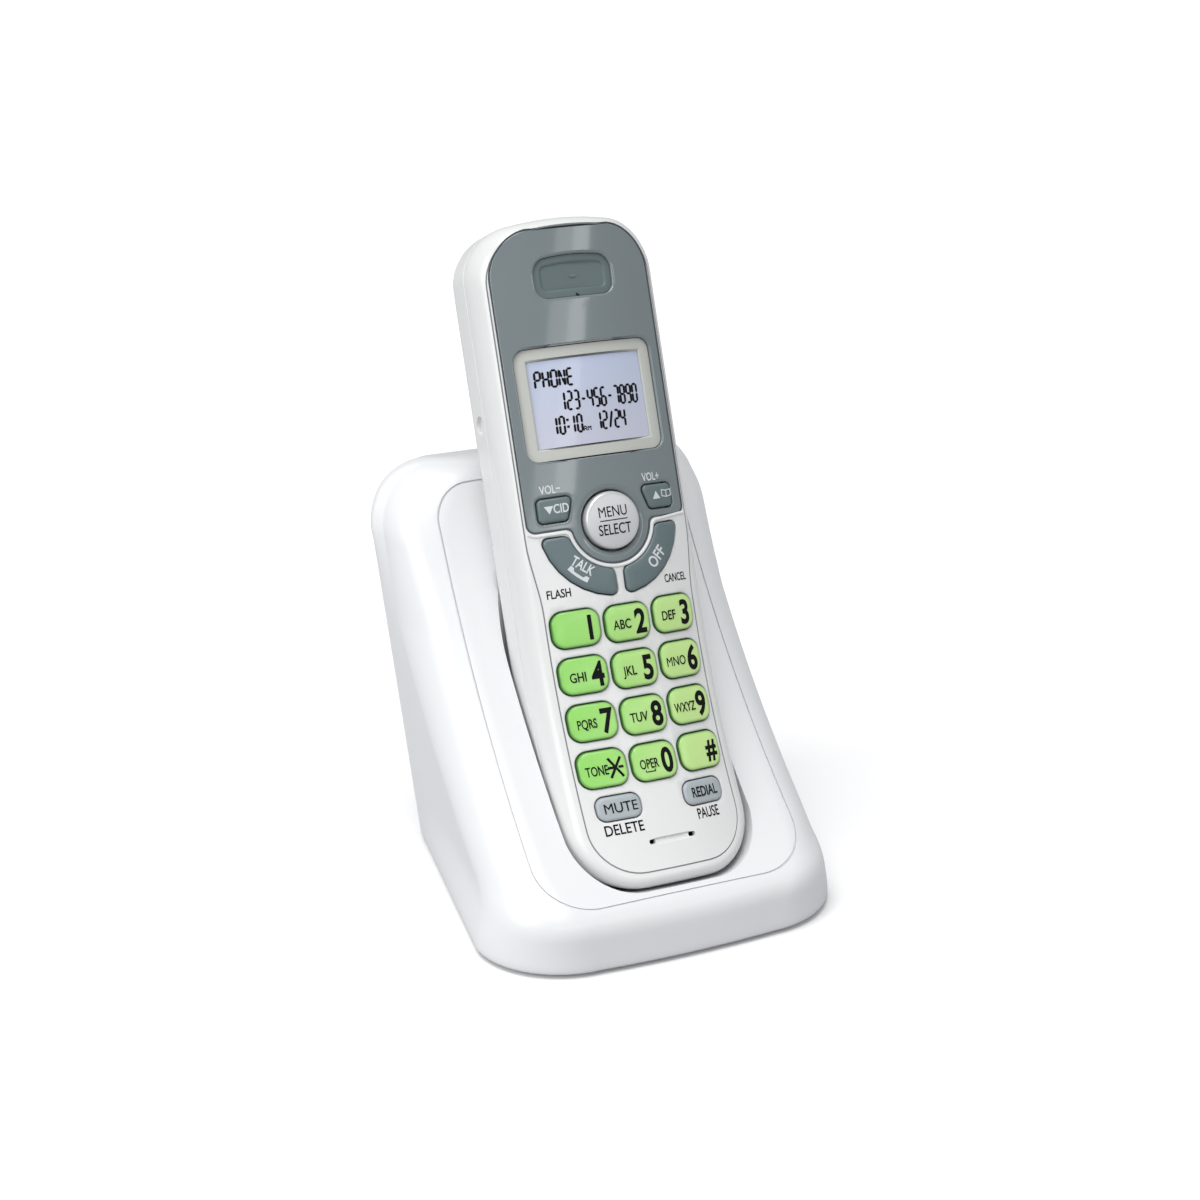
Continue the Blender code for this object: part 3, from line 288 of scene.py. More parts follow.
def brushed_silver():
    """Silver plating turned in fine rings round the menu key's centre."""
    made = plastic("brushed_silver", (0.63, 0.64, 0.65), (0.66, 0.67, 0.68),
                   0.34, 0.02, 900.0, 0.0, 0.1, 0.45)
    tree, link = made.node_tree.nodes, made.node_tree.links.new
    coordinates = tree.new("ShaderNodeTexCoord")
    centre = LEANING @ Vector((0, 0, MENU_Z)) * MM
    place = tree.new("ShaderNodeMapping")
    place.vector_type = "TEXTURE"
    place.inputs["Location"].default_value = centre
    place.inputs["Rotation"].default_value = (-RECLINE, 0, 0)
    rings = tree.new("ShaderNodeTexWave")
    rings.wave_type, rings.rings_direction = "RINGS", "Y"
    rings.inputs["Scale"].default_value = 900.0
    rings.inputs["Distortion"].default_value = 1.5
    bump = tree.new("ShaderNodeBump")
    bump.inputs["Strength"].default_value = 0.012
    bump.inputs["Distance"].default_value = 0.00002
    link(coordinates.outputs["Object"], place.inputs["Vector"])
    link(place.outputs["Vector"], rings.inputs["Vector"])
    link(rings.outputs["Fac"], bump.inputs["Height"])
    link(bump.outputs["Normal"], tree["Principled BSDF"].inputs["Normal"])
    return made


def make_materials():
    """Every finish, by the name that the pieces ask for."""
    moulded_skin()
    return {
        "white": plastic("white_gloss", (0.72, 0.73, 0.725), (0.745, 0.75, 0.745),
                         0.24, 0.05, 1400.0, 0.02, 0.15),
        "base_white": plastic("base_white", (0.755, 0.765, 0.775), (0.775, 0.785, 0.795),
                              0.3, 0.06, 1300.0, 0.02, 0.1),
        "plate": plastic("plate_grey", (0.175, 0.21, 0.22), (0.185, 0.22, 0.23),
                         0.08, 0.02, 1500.0, 0.004, 0.6),
        "ear": plastic("ear_grey", (0.105, 0.145, 0.148), (0.12, 0.16, 0.163), 0.4, 0.06, 2200.0, 0.05),
        "slate": plastic("slate_key", (0.115, 0.16, 0.168), (0.13, 0.175, 0.183),
                         0.36, 0.06, 2400.0, 0.05),
        "blue_grey": plastic("blue_grey_key", (0.36, 0.4, 0.42), (0.39, 0.43, 0.45),
                             0.34, 0.05, 2000.0, 0.03),
        "bezel": plastic("bezel_grey", (0.5, 0.51, 0.475), (0.54, 0.55, 0.515),
                         0.4, 0.06, 2600.0, 0.04),
        # painted shade: dark grey for the groove round the handset's face
        "painted_rim_shade": plastic("rim_groove_shade_grey", (0.2, 0.22, 0.225), (0.23, 0.25, 0.255),
                       0.5, 0.06, 2000.0, 0.03, specular=0.2),
        "seam": plastic("seam_grey", (0.07, 0.08, 0.085), (0.09, 0.1, 0.105),
                        0.5, 0.06, 2000.0, 0.02, specular=0.2),
        "ink": plastic("black_ink", (0.006, 0.006, 0.007), (0.01, 0.01, 0.011),
                       0.7, 0.08, 4000.0, 0.02, specular=0.08),
        "pale_ink": plastic("pale_ink", (0.6, 0.63, 0.65), (0.68, 0.71, 0.73),
                            0.6, 0.08, 4000.0, 0.02, specular=0.2),
        "dark": plastic("dark_plastic", (0.01, 0.011, 0.012), (0.016, 0.017, 0.018),
                        0.6, 0.1, 2500.0, 0.05, specular=0.2),
        "rubber": plastic("foot_rubber", (0.035, 0.035, 0.036), (0.06, 0.06, 0.06),
                          0.85, 0.1, 3500.0, 0.2),
        "membrane": plastic("silicone", (0.5, 0.5, 0.48), (0.58, 0.58, 0.56), 0.7, 0.08, 2500.0, 0.08),
        "board": plastic("solder_mask", (0.015, 0.13, 0.05), (0.03, 0.2, 0.08), 0.4, 0.1, 3000.0, 0.15),
        "nickel": plastic("nickel_plate", (0.66, 0.64, 0.6), (0.75, 0.73, 0.69),
                          0.24, 0.1, 3000.0, 0.05, 0, 1.0),
        "gold": plastic("gilt_wire", (0.8, 0.58, 0.24), (0.9, 0.68, 0.32),
                        0.22, 0.1, 3000.0, 0.05, 0, 1.0),
        "cell": plastic("cell_wrap", (0.06, 0.2, 0.42), (0.1, 0.26, 0.5), 0.3, 0.08, 2600.0, 0.04, 0.2),
        "green": green_key_plastic(),
        "display": display_panel(),
        "silver": brushed_silver(),
    }


# ---- drawing tools ----
def arc(centre, radius, start, end, steps):
    """Points along an arc, between two angles in degrees."""
    angles = (math.radians(start + (end - start) * i / steps) for i in range(steps + 1))
    return [(centre[0] + radius * math.cos(a), centre[1] + radius * math.sin(a)) for a in angles]


def ease(value, low, high):
    """0 to 1 between two values, level at both ends."""
    share = min(1.0, max(0.0, (value - low) / (high - low)))
    return share * share * (3 - 2 * share)


def quarter(value, start, size):
    """The fall of a quarter circle of size 1, from a start over a size."""
    share = min(1.0, max(0.0, (value - start) / size))
    return 1 - math.sqrt(1 - share * share)


def rounded(half_width, low, high, corner_low, corner_high, inset=0.0, steps=8, arch=0.0, stations=0):
    """A rounded rectangle, anticlockwise from its lower right corner; arch drops the top's corners."""
    half, low, high = half_width - inset, low + inset, high - inset
    most = min(half, (high - low) / 2) - 0.02
    r_low = max(0.08, min(corner_low - inset, most))
    r_high = max(0.08, min(corner_high - inset, most))
    right = [(max(0.0, half - r_low) * i / 4, low) for i in range(4)] if stations else []
    right += arc((half - r_low, low + r_low), r_low, -90, 0, steps)
    start, end = low + r_low, high - r_high
    right += [(half, start + (end - start) * i / (stations + 1)) for i in range(1, stations + 1)]
    right += arc((half - r_high, high - r_high), r_high, 0, 90, steps)
    if stations:
        right += [((half - r_high) * i / 4, high) for i in (3, 2, 1, 0)]
        left = [(-x, z) for x, z in reversed(right[1:-1])]
    else:
        left = [(-x, z) for x, z in reversed(right)]
    middle, shoulder = (low + high) / 2, high - r_high
    return [(x, z - arch * (x / half_width) ** 2 * ease(z, middle, shoulder)) for x, z in right + left]


def box_outline(centre, size, corner, inset=0.0, steps=6):
    shape = rounded(size[0] / 2, -size[1] / 2, size[1] / 2, corner, corner, inset, steps)
    return [(centre[0] + x, centre[1] + z) for x, z in shape]


def skin(rings, caps=(True, True)):
    """A skin drawn by extruding a closed row of points from ring to ring."""
    mesh = bmesh.new()
    row = [mesh.verts.new(point) for point in rings[0]]
    edges = [mesh.edges.new((a, b)) for a, b in zip(row, row[1:] + row[:1])]
    first_edges = list(edges)
    for ring in rings[1:]:
        grown = bmesh.ops.extrude_edge_only(mesh, edges=edges)["geom"]
        fresh = {item for item in grown if isinstance(item, bmesh.types.BMVert)}
        row = [next(e.other_vert(v) for e in v.link_edges if e.other_vert(v) in fresh) for v in row]
        edges = [e for e in grown if isinstance(e, bmesh.types.BMEdge) and set(e.verts) <= fresh]
        for vertex, point in zip(row, ring):
            vertex.co = point
    for wanted, loop in zip(caps, (first_edges, edges)):
        if wanted:
            bmesh.ops.edgeloop_fill(mesh, edges=loop)
    bmesh.ops.remove_doubles(mesh, verts=mesh.verts, dist=0.002)
    bmesh.ops.dissolve_degenerate(mesh, edges=mesh.edges, dist=0.001)
    bmesh.ops.recalc_face_normals(mesh, faces=mesh.faces)
    return mesh


def prism(outline, near, far):
    """A straight bar along y."""
    return skin([[(x, far, z) for x, z in outline], [(x, near, z) for x, z in outline]])


def post(outline, low, high):
    """A straight bar along z."""
    return skin([[(x, y, height) for x, y in outline] for height in (low, high)])


def cylinder(centre, radius, length, axis=(0, 0, 1), segments=48, far_radius=None):
    mesh = bmesh.new()
    far = radius if far_radius is None else far_radius
    bmesh.ops.create_cone(mesh, cap_ends=True, segments=segments, radius1=radius, radius2=far, depth=length)
    turn = Vector((0, 0, 1)).rotation_difference(Vector(axis)).to_matrix()
    bmesh.ops.rotate(mesh, cent=(0, 0, 0), matrix=turn, verts=mesh.verts)
    bmesh.ops.translate(mesh, vec=centre, verts=mesh.verts)
    return mesh


def block(low, high):
    mesh = bmesh.new()
    bmesh.ops.create_cube(mesh, size=1.0)
    bmesh.ops.scale(mesh, vec=[b - a for a, b in zip(low, high)], verts=mesh.verts)
    bmesh.ops.translate(mesh, vec=[(a + b) / 2 for a, b in zip(low, high)], verts=mesh.verts)
    return mesh


def turned(profile, steps=48):
    """A profile of (radius, height) spun round z."""
    mesh = bmesh.new()
    points = [mesh.verts.new((radius, 0, height)) for radius, height in profile]
    edges = [mesh.edges.new(pair) for pair in zip(points, points[1:])]
    bmesh.ops.spin(mesh, geom=points + edges, cent=(0, 0, 0), axis=(0, 0, 1), angle=math.tau, steps=steps,
                   use_merge=True)
    bmesh.ops.remove_doubles(mesh, verts=mesh.verts, dist=0.001)
    bmesh.ops.recalc_face_normals(mesh, faces=mesh.faces)
    return mesh


def gather(meshes):
    """Several separate solids in one bmesh."""
    whole = bmesh.new()
    for mesh in meshes:
        step = bpy.data.meshes.new("step")
        mesh.to_mesh(step)
        mesh.free()
        whole.from_mesh(step)
        bpy.data.meshes.remove(step)
    return whole


def to_object(name, mesh):
    data = bpy.data.meshes.new(name)
    mesh.to_mesh(data)
    mesh.free()
    made = bpy.data.objects.new(name, data)
    bpy.context.scene.collection.objects.link(made)
    return made


def bake(item):
    """Apply an object's modifiers."""
    graph = bpy.context.evaluated_depsgraph_get()
    data = bpy.data.meshes.new_from_object(item.evaluated_get(graph))
    item.modifiers.clear()
    old = item.data
    item.data = data
    bpy.data.meshes.remove(old)


def carve(item, tool, operation="DIFFERENCE"):
    """Cut one object with a bmesh, and do away with the tool."""
    cutter = to_object("tool", tool)
    step = item.modifiers.new("cut", "BOOLEAN")
    step.operation, step.solver, step.object = operation, "EXACT", cutter
    bpy.context.view_layer.update()
    bake(item)
    bpy.data.objects.remove(cutter, do_unlink=True)


def finish_piece(item, look, body, frame=UPRIGHT, replaces=(), angle=35.0):
    """Put a piece drawn in millimetres in the world, in metres, with its material and its body."""
    item.data.transform(Matrix.Scale(MM, 4) @ frame)
    item.data.materials.clear()
    for material in look if isinstance(look, (list, tuple)) else (look,):
        item.data.materials.append(material)
    item.data.shade_smooth()
    item.data.set_sharp_from_angle(angle=math.radians(angle))
    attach(item, body)
    if replaces:
        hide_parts(*replaces)
    return item


def lettering(text, centre, height, surface, squeeze=0.8, weight=0.0, turn=0.0, proud=0.05, spacing=1.0):
    """Printed characters, laid on a surface given as depth(x, z)."""
    curve = bpy.data.curves.new("letters", "FONT")
    curve.body, curve.size, curve.extrude = text, 1.0, 0.5
    curve.align_x, curve.align_y = "CENTER", "CENTER"
    curve.offset = 0.0 if "M" in text else weight  # a thickened M would close up
    curve.space_character, curve.resolution_u = spacing, 4
    holder = bpy.data.objects.new("letters", curve)
    bpy.context.scene.collection.objects.link(holder)
    bpy.context.view_layer.update()
    data = bpy.data.meshes.new_from_object(holder.evaluated_get(bpy.context.evaluated_depsgraph_get()))
    bpy.data.objects.remove(holder, do_unlink=True)
    mesh = bmesh.new()
    mesh.from_mesh(data)
    bpy.data.meshes.remove(data)
    bmesh.ops.remove_doubles(mesh, verts=mesh.verts, dist=0.0001)
    bmesh.ops.triangulate(mesh, faces=mesh.faces)
    low, high = LETTER_FOOT, LETTER_HEAD
    scale = height / (high - low)
    cosine, sine = math.cos(turn), math.sin(turn)
    for vertex in mesh.verts:
        x, z = vertex.co.x * scale * squeeze, (vertex.co.y - (low + high) / 2) * scale
        x, z = centre[0] + x * cosine - z * sine, centre[1] + x * sine + z * cosine
        depth = surface(x, z) + (proud if vertex.co.z < 0 else -proud)
        vertex.co = (x, depth, z)
    bmesh.ops.recalc_face_normals(mesh, faces=mesh.faces)
    return mesh


def bead(points, radius, surface, closed=False):
    """A fine raised bead along (x, z) points on a surface."""
    count = len(points)
    rings = []
    for i, (x, z) in enumerate(points):
        before = Vector(points[i - 1] if i or closed else points[0])
        after = Vector(points[(i + 1) % count] if i + 1 < count or closed else points[-1])
        way = (after - before).normalized()
        side = Vector((way.y, -way.x))
        ring = []
        for k in range(12):
            angle = math.tau * k / 12
            offset = side * radius * math.cos(angle)
            ring.append((x + offset.x, surface(x, z) - radius * 0.8 * math.sin(angle), z + offset.y))
        rings.append(ring)
    return skin(rings, (not closed, not closed))


# ---- handset surfaces ----
def bend(z):
    """How far the lower face curves forwards."""
    return -z * z / (2 * BEND_RADIUS) if z < 0 else 0.0


def face(x, z):
    """Depth of the face: crowned across, bent lower down."""
    return x * x / (2 * CROWN_RADIUS) + bend(z)


def back(z):
    """Depth of the back, which bends in at both ends."""
    depth = DEPTH
    if z < BACK_BEND[0]:
        depth -= (z - BACK_BEND[0]) ** 2 / (2 * BACK_BEND[1])
    if z > BACK_NOD[0]:
        depth -= (z - BACK_NOD[0]) ** 2 / (2 * BACK_NOD[1])
    return depth


def parting(z):
    """Depth of the joint between the front and the rear shell."""
    return (bend(z) + back(z)) / 2 - 1.0


def on_face(outline, sink=0.0):
    """A row of points on the face, or this far under it."""
    return [(x, face(x, z) + sink, z) for x, z in outline]


def on_back(outline, sink=0.0):
    return [(x, back(z) - sink, z) for x, z in outline]


def on_parting(outline, sink=0.0):
    return [(x, parting(z) + sink, z) for x, z in outline]


def level_row(outline, depth):
    return [(x, depth, z) for x, z in outline]


def rounding(shape, turns, inset, across, depth, down):
    """Rows round a quarter circle on the face: it starts at an inset and depth and goes across."""
    rows = []
    for turn in turns:
        angle = math.radians(turn)
        outline = shape(inset + across * (1 - math.cos(angle)))
        rows.append(on_face(outline, depth + down * (1 - math.sin(angle))))
    return rows


def handset_outline(inset, share=1.0):
    corner = CORNER_HIGH + (FACE_CORNER_HIGH - CORNER_HIGH) * share
    return rounded(HALF_WIDTH, BOTTOM, TOP, CORNER_LOW, corner, inset, 12, TOP_ARCH, 56)


def plate_outline(inset=0.0):
    """The faceplate: the face's outline above, a collar round the menu key below."""
    edge = PLATE_INSET + inset
    half, low, high = HALF_WIDTH - edge, PLATE_LOW + inset, TOP - edge + PLATE_LIFT
    radius = FACE_CORNER_HIGH - edge
    collar, corner = PLATE_COLLAR - inset, max(0.3, 2.0 - inset)
    right = arc((half - corner, low + corner), corner, -90, 0, 6)
    start = low + corner
    right += [(half, start + (high - radius - start) * i / 24) for i in range(1, 24)]
    right += arc((half - radius, high - radius), radius, 0, 90, 14)
    left = [(-x, z) for x, z in reversed(right)]
    cove = 1.6
    reach = math.sqrt((collar + cove) ** 2 - (MENU_Z - low + cove) ** 2)
    meet = math.degrees(math.atan2(low - cove - MENU_Z, reach))
    fillet = [(x, z) for x, z in arc((-reach, low - cove), cove, 90, -meet, 5)]
    points = right + left + fillet
    points += arc((0, MENU_Z), collar, 180 - meet, 360 + meet, 30)[1:-1]
    points += [(-x, z) for x, z in reversed(fillet)]
    return [(x, z - TOP_ARCH * (x / HALF_WIDTH) ** 2 * ease(z, WINDOW[1], high - radius)) for x, z in points]


def collar_run(inset):
    """The lower edge of the faceplate's outline, from its left corner round the collar to its right."""
    points = plate_outline(inset)
    start = next(i for i, (x, z) in enumerate(points) if i > len(points) // 3 and z < MENU_Z - 0.01 and x < 0)
    run = points[start:]
    return [(x, z) for x, z in run if z <= PLATE_LOW + 1.4] + [(-run[0][0], run[0][1])]


def drop(inset, x, z):
    """How far the rounding round the face has turned back at an inset."""
    deep = min(FACE_EDGE[1], parting(z) - face(x, z) - 0.6)
    return deep * (1 - math.sqrt(max(0.0, 1 - (1 - min(1.0, inset / FACE_EDGE[0])) ** 2)))


def face_ring(inset_high, inset_low, sink=0.0):
    """A row of points round the face, further in round the keys than round the faceplate."""
    share = min(1.0, inset_low / FACE_EDGE[0])
    high, low = handset_outline(inset_high, share), handset_outline(inset_low, share)
    ring = []
    for (xa, za), (xb, zb) in zip(high, low):
        blend = ease((za + zb) / 2, 4.0, 22.0)
        x, z = xb + (xa - xb) * blend, zb + (za - zb) * blend
        inset = inset_low + (inset_high - inset_low) * blend
        ring.append((x, face(x, z) + drop(inset, x, z) + sink, z))
    return ring


def centre_ring(depth):
    low, high = BOTTOM + MIDDLE_MARGIN, TOP - MIDDLE_MARGIN
    return [(0.0, depth(0.0, h), h) for h in (min(high, max(low, z)) for x, z in handset_outline(INNERMOST))]


def front_shell():
    """The front shell: its inside, its joint, its rounded edge and its grooved face."""
    inner = [centre_ring(lambda x, z: face(x, z) + WALL)]
    inner += [on_face(handset_outline(inset), WALL) for inset in (INNERMOST, 19.0, 15.0, 11.0, 8.0)]
    inner.append(on_face(handset_outline(5.0), WALL + 0.4))
    corner = handset_outline(2.6, 0.5)
    inner.append([(x, min(face(x, z) + WALL + 2.5, parting(z) - 0.3), z) for x, z in corner])
    inner.append(on_parting(handset_outline(WALL, 0)))
    outer = [on_parting(handset_outline(EDGE_BREAK, 0)), on_parting(handset_outline(0, 0), -EDGE_BREAK)]
    for degrees in range(0, 66, 8):
        inset = FACE_EDGE[0] * (1 - math.cos(math.radians(degrees)))
        outline = handset_outline(inset, degrees / 90)
        outer.append([(x, face(x, z) + drop(inset, x, z), z) for x, z in outline])
    outer += [face_ring(2.05, 2.6), face_ring(2.2, 3.2)]
    half, lip = RIM_LINE_WIDTH / 2, 0.1
    for step, sink in ((-half, 0.0), (lip - half, RIM_LINE_DEPTH), (half - lip, RIM_LINE_DEPTH), (half, 0.0)):
        outer.append(face_ring(RIM_LINE_HIGH + step, RIM_LINE_LOW + step, sink))
    outer += [face_ring(3.4, 4.9), face_ring(5.0, 6.0)]
    insets = (7.5, 9.5, 11.5, 13.5, 15.5, 17.5, 19.5, 21.0, INNERMOST)
    outer += [on_face(handset_outline(inset)) for inset in insets]
    outer.append(centre_ring(face))
    return skin(inner + outer, (False, False))


def rim_groove_shade():
    """A dark grey strip laid in the groove round the face: painted shade of the groove."""
    half = RIM_LINE_WIDTH / 2 - 0.08
    near, far = RIM_LINE_DEPTH - 0.12, RIM_LINE_DEPTH + 0.1
    corners = ((-half, near), (half, near), (half, far), (-half, far), (-half, near))
    rows = [face_ring(RIM_LINE_HIGH + step, RIM_LINE_LOW + step, sink) for step, sink in corners]
    return skin(rows, (False, False))


def rear_shell():
    """The rear shell, from the middle of its inside to the middle of its back."""
    inner = [centre_ring(lambda x, z: back(z) - REAR_WALL)]
    inner += [on_back(handset_outline(inset, 0), REAR_WALL) for inset in (INNERMOST, 18.0, 13.0, 10.0)]
    inner.append(on_back(handset_outline(6.0, 0), REAR_WALL + 1.6))
    inner.append(on_back(handset_outline(REAR_WALL, 0), BACK_EDGE))
    inner.append(on_parting(handset_outline(REAR_WALL, 0), FIT))
    outer = [on_parting(handset_outline(EDGE_BREAK, 0), FIT),
             on_parting(handset_outline(0, 0), FIT + EDGE_BREAK)]
    for degrees in range(0, 91, 9):
        angle = math.radians(degrees)
        inset, fall = BACK_EDGE * (1 - math.cos(angle)), BACK_EDGE * (1 - math.sin(angle))
        outer.append(on_back(handset_outline(inset, 0), fall))
    outer += [on_back(handset_outline(inset, 0)) for inset in BACK_INSETS]
    outer.append(centre_ring(lambda x, z: back(z)))
    return skin(inner + outer, (False, False))


def hole_tool(outline, lip=(0.5, 0.4), deep=None):
    """A cutter through the face whose mouth is rounded; outline takes an inset."""
    across, down = lip
    far = level_row(outline(0.0), CUT_FAR) if deep is None else on_face(outline(0.0), deep)
    mouth = rounding(outline, (0, 25, 50, 72, 90), 0.0, -across, -0.02, down)
    return skin([far] + mouth + [level_row(outline(-across), CUT_NEAR)])


def edge_tool(outline, edge=0.3):
    """A bar through the face that leaves a rounded upper edge on what it is crossed with."""
    brim = rounding(outline, (0, 30, 60, 90), 0.0, edge, -0.01, edge)
    return skin([level_row(outline(0.0), CUT_FAR)] + brim + [level_row(outline(edge), CUT_NEAR)])


def slab(insets, share, surface, near, far):
    """A layer between two depths under a surface, drawn in to a line along its middle."""
    rows = []
    for depth, order in ((far, -1), (near, 1)):
        layer = [handset_outline(inset, share) for inset in insets]
        layer = [[(x, surface(x, z) + depth, z) for x, z in outline] for outline in layer]
        layer.append(centre_ring(lambda x, z: surface(x, z) + depth))
        rows += layer[::order]
    return skin(rows, (False, False))


def face_slab(near, far, margin=PLATE_INSET - 1.0):
    return slab((margin, 5.0, 7.0, 9.0, 11.0, 13.0, 15.0, 17.0, 19.0, 21.0, INNERMOST), 1.0, face, near, far)


def back_slab(near, far):
    return slab((BACK_EDGE - 0.5,) + BACK_INSETS, 0, lambda x, z: back(z), -near, -far)


# ---- key shapes: each takes an inset and gives its outline ----
def digit_shape(centre):
    return lambda inset=0.0: box_outline(centre, KEY_SIZE, KEY_CORNER, inset, 8)


def small_shape(centre):
    return lambda inset=0.0: box_outline(centre, SMALL_KEY_SIZE, 2.1, inset, 8)


def call_shape(side):
    """A piece of the ring round the menu key, level at its top and upright at its inner end."""
    def shape(inset=0.0):
        middle = (RING_INNER + RING_OUTER) / 2
        deep = (RING_OUTER - RING_INNER) / 2
        square = rounded(10.0, -deep, deep, 1.5, 1.5, inset, 5)
        square = [p for i, p in enumerate(square) for p in side_points(p, square[(i + 1) % len(square)])]
        points = []
        for along, across in square:
            radius = middle + across
            top = math.degrees(math.asin(2.3 / radius)) + 180
            end = 270 - math.degrees(math.asin(1.25 / radius))
            angle = math.radians(top + (end - top) * (along + 10.0) / 20.0)
            points.append((-side * radius * math.cos(angle), MENU_Z + radius * math.sin(angle)))
        return points if side < 0 else list(reversed(points))
    return shape


def side_points(here, after, longest=2.5):
    """A point, and stations on the way to the next one where that is far."""
    count = max(1, int(math.dist(here, after) / longest))
    return [tuple(a + (b - a) * i / count for a, b in zip(here, after)) for i in range(count)]


def volume_shape(side):
    corners = [(10.9, 26.0), (17.6, 26.0), (17.5, 31.7), (9.1, 31.7)]
    if side < 0:
        corners = [(-x, z) for x, z in reversed(corners)]

    def shape(inset=0.0):
        drawn, radius, count = [], max(0.12, 1.1 - inset), len(corners)
        for i, corner in enumerate(corners):
            here = Vector(corner)
            back_way = (Vector(corners[i - 1]) - here).normalized()
            on_way = (Vector(corners[(i + 1) % count]) - here).normalized()
            half = back_way.angle(on_way) / 2
            centre = here + (back_way + on_way).normalized() * ((radius + inset) / math.sin(half))
            start = math.degrees(math.atan2(back_way.x, -back_way.y))
            end = math.degrees(math.atan2(-on_way.x, on_way.y))
            drawn += arc(centre, radius, start, end + (360 if end < start else 0), 6)
        return drawn
    return shape


def ring_shape(radius, centre=(0.0, MENU_Z), steps=63):
    return lambda inset=0.0: arc(centre, radius - inset, 0, 360 * steps / (steps + 1), steps)


def digit_keys():
    names = ("1", "2", "3", "4", "5", "6", "7", "8", "9", "star", "0", "hash")
    for i, name in enumerate(names):
        row, column = divmod(i, 3)
        fall = MIDDLE_DROP if column == 1 else 0.0
        yield "key_" + name, ((column - 1) * COLUMN_PITCH, -row * ROW_PITCH - fall)


def all_keys():
    """Each key but the round one: node, shape, centre, material, slot and rise."""
    keys = [(name, digit_shape(c), c, "green", "green_key", KEY_RISE) for name, c in digit_keys()]
    for name, side in (("mute_key", -1), ("redial_key", 1)):
        centre = (side * SMALL_KEY_CENTRE[0], SMALL_KEY_CENTRE[1])
        keys.append((name, small_shape(centre), centre, "blue_grey", "blue_grey_key", KEY_RISE * 0.6))
    for name, side in (("talk_key", -1), ("off_key", 1)):
        centre = (side * 10.4, MENU_Z - 10.4)
        keys.append((name, call_shape(side), centre, "slate", "slate_key", KEY_RISE * 0.7))
    for name, side in (("volume_down_key", -1), ("volume_up_key", 1)):
        keys.append((name, volume_shape(side), (side * 13.8, 28.9), "slate", "slate_key", KEY_RISE * 0.5))
    return keys


def key_body(shape, centre, rise, edge=(0.8, 0.6)):
    across, down = edge
    rows = [level_row(shape(0.0), face(*centre) + KEY_DEPTH)]
    rows += rounding(shape, (0, 18, 36, 54, 72, 90), 0.0, across, -rise, down)
    rows += [on_face(shape(inset), -rise - swell) for inset, swell in ((1.3, 0.04), (1.9, 0.07), (2.4, 0.08))]
    return skin(rows)


def mark_top(item, rise):
    """An attribute that is 1 on a key's top and falls to 0 down its sides; it masks the painted shade round
    each key's edge.
    """
    layer = item.data.attributes.new("unshaded_top", "FLOAT", "POINT")
    for vertex, value in zip(item.data.vertices, layer.data):
        x, y, z = vertex.co
        value.value = 1.0 - min(1.0, max(0.0, (y - face(x, z) + rise) / 0.5))


# ---- handset pieces ----
def window_shape(inset=0.0):
    half, low, high = WINDOW
    return rounded(half, low, high, 2.8, 2.8, inset, 8)


def ear_shape(inset=0.0):
    """The earpiece's recess: a rounded box whose upper edge is arched."""
    box = box_outline((0.0, EAR_Z), (2 * EAR_HALF[0], 2 * EAR_HALF[1]), 3.0, inset, 8)
    stationed = [p for i, q in enumerate(box) for p in side_points(q, box[(i + 1) % len(box)], 1.5)]
    return [(x, z - (0.9 * (x / EAR_HALF[0]) ** 2 if z > EAR_Z else 0.0)) for x, z in stationed]


def make_shells(look):
    keys = all_keys()
    mouths = {key[0]: (lambda inset=0.0, shape=key[1]: shape(inset - KEY_CLEARANCE)) for key in keys}
    volume = ("volume_down_key", "volume_up_key")
    shell = to_object("front_shell", front_shell())
    pocket = to_object("pocket", face_slab(-4.0, PLATE_THICKNESS + FIT))
    carve(pocket, prism(plate_outline(-FIT), CUT_NEAR, CUT_FAR), "INTERSECT")
    carve(shell, taken(pocket))
    tools = [hole_tool(mouth, (0.1, 0.1) if name in volume else (0.45, 0.35))
             for name, mouth in mouths.items()]
    through = [box_outline((x, MIC_Z), MIC_HOLE, 0.45) for x in (-MIC_X, MIC_X)]
    through += [ring_shape(MENU_RADIUS + 1.2)(), window_shape(-FIT), ear_shape(-FIT)]
    carve(shell, gather(tools + [prism(outline, CUT_NEAR, CUT_FAR) for outline in through]))
    slit = hole_tool(lambda inset=0.0: box_outline((0.0, MIC_Z), MIC_SLIT, 0.6, inset), (0.2, 0.3), 0.42)
    carve(shell, slit)
    finish_piece(shell, look["white"], "handset", LEANING, ("handset_front_shell",), 40)

    plate = to_object("faceplate_gloss", face_slab(-0.05, PLATE_THICKNESS))
    carve(plate, edge_tool(plate_outline), "INTERSECT")
    tools = [hole_tool(lambda inset=0.0: window_shape(inset - 0.15), (0.5, 0.5)),
             hole_tool(lambda inset=0.0: ear_shape(inset - 0.1), (0.7, 0.6)),
             hole_tool(ring_shape(MENU_RADIUS + 0.5), (1.3, 0.8))]
    carve(plate, gather(tools + [hole_tool(mouths[name], (0.7, 0.45)) for name in volume]))
    finish_piece(plate, look["plate"], "handset", LEANING, ("faceplate",), 40)

    border = bead(collar_run(-0.85), 0.42, lambda x, z: face(x, z) - 0.02)
    finish_piece(to_object("plate_border", border), look["white"], "handset", LEANING, (), 60)

    # painted shade: the groove round the face is lined with dark grey
    finish_piece(to_object("rim_groove_shade", rim_groove_shade()), look["painted_rim_shade"], "handset", LEANING)
    seam = bead(plate_outline(-0.14), 0.19, lambda x, z: face(x, z) + 0.06, True)
    finish_piece(to_object("plate_seam", seam), look["seam"], "handset", LEANING)


def door_outline(inset=0.0, below=0.0):
    half, low, high = DOOR
    return rounded(half, low - below, high, 3.0, 3.0, inset, 8)


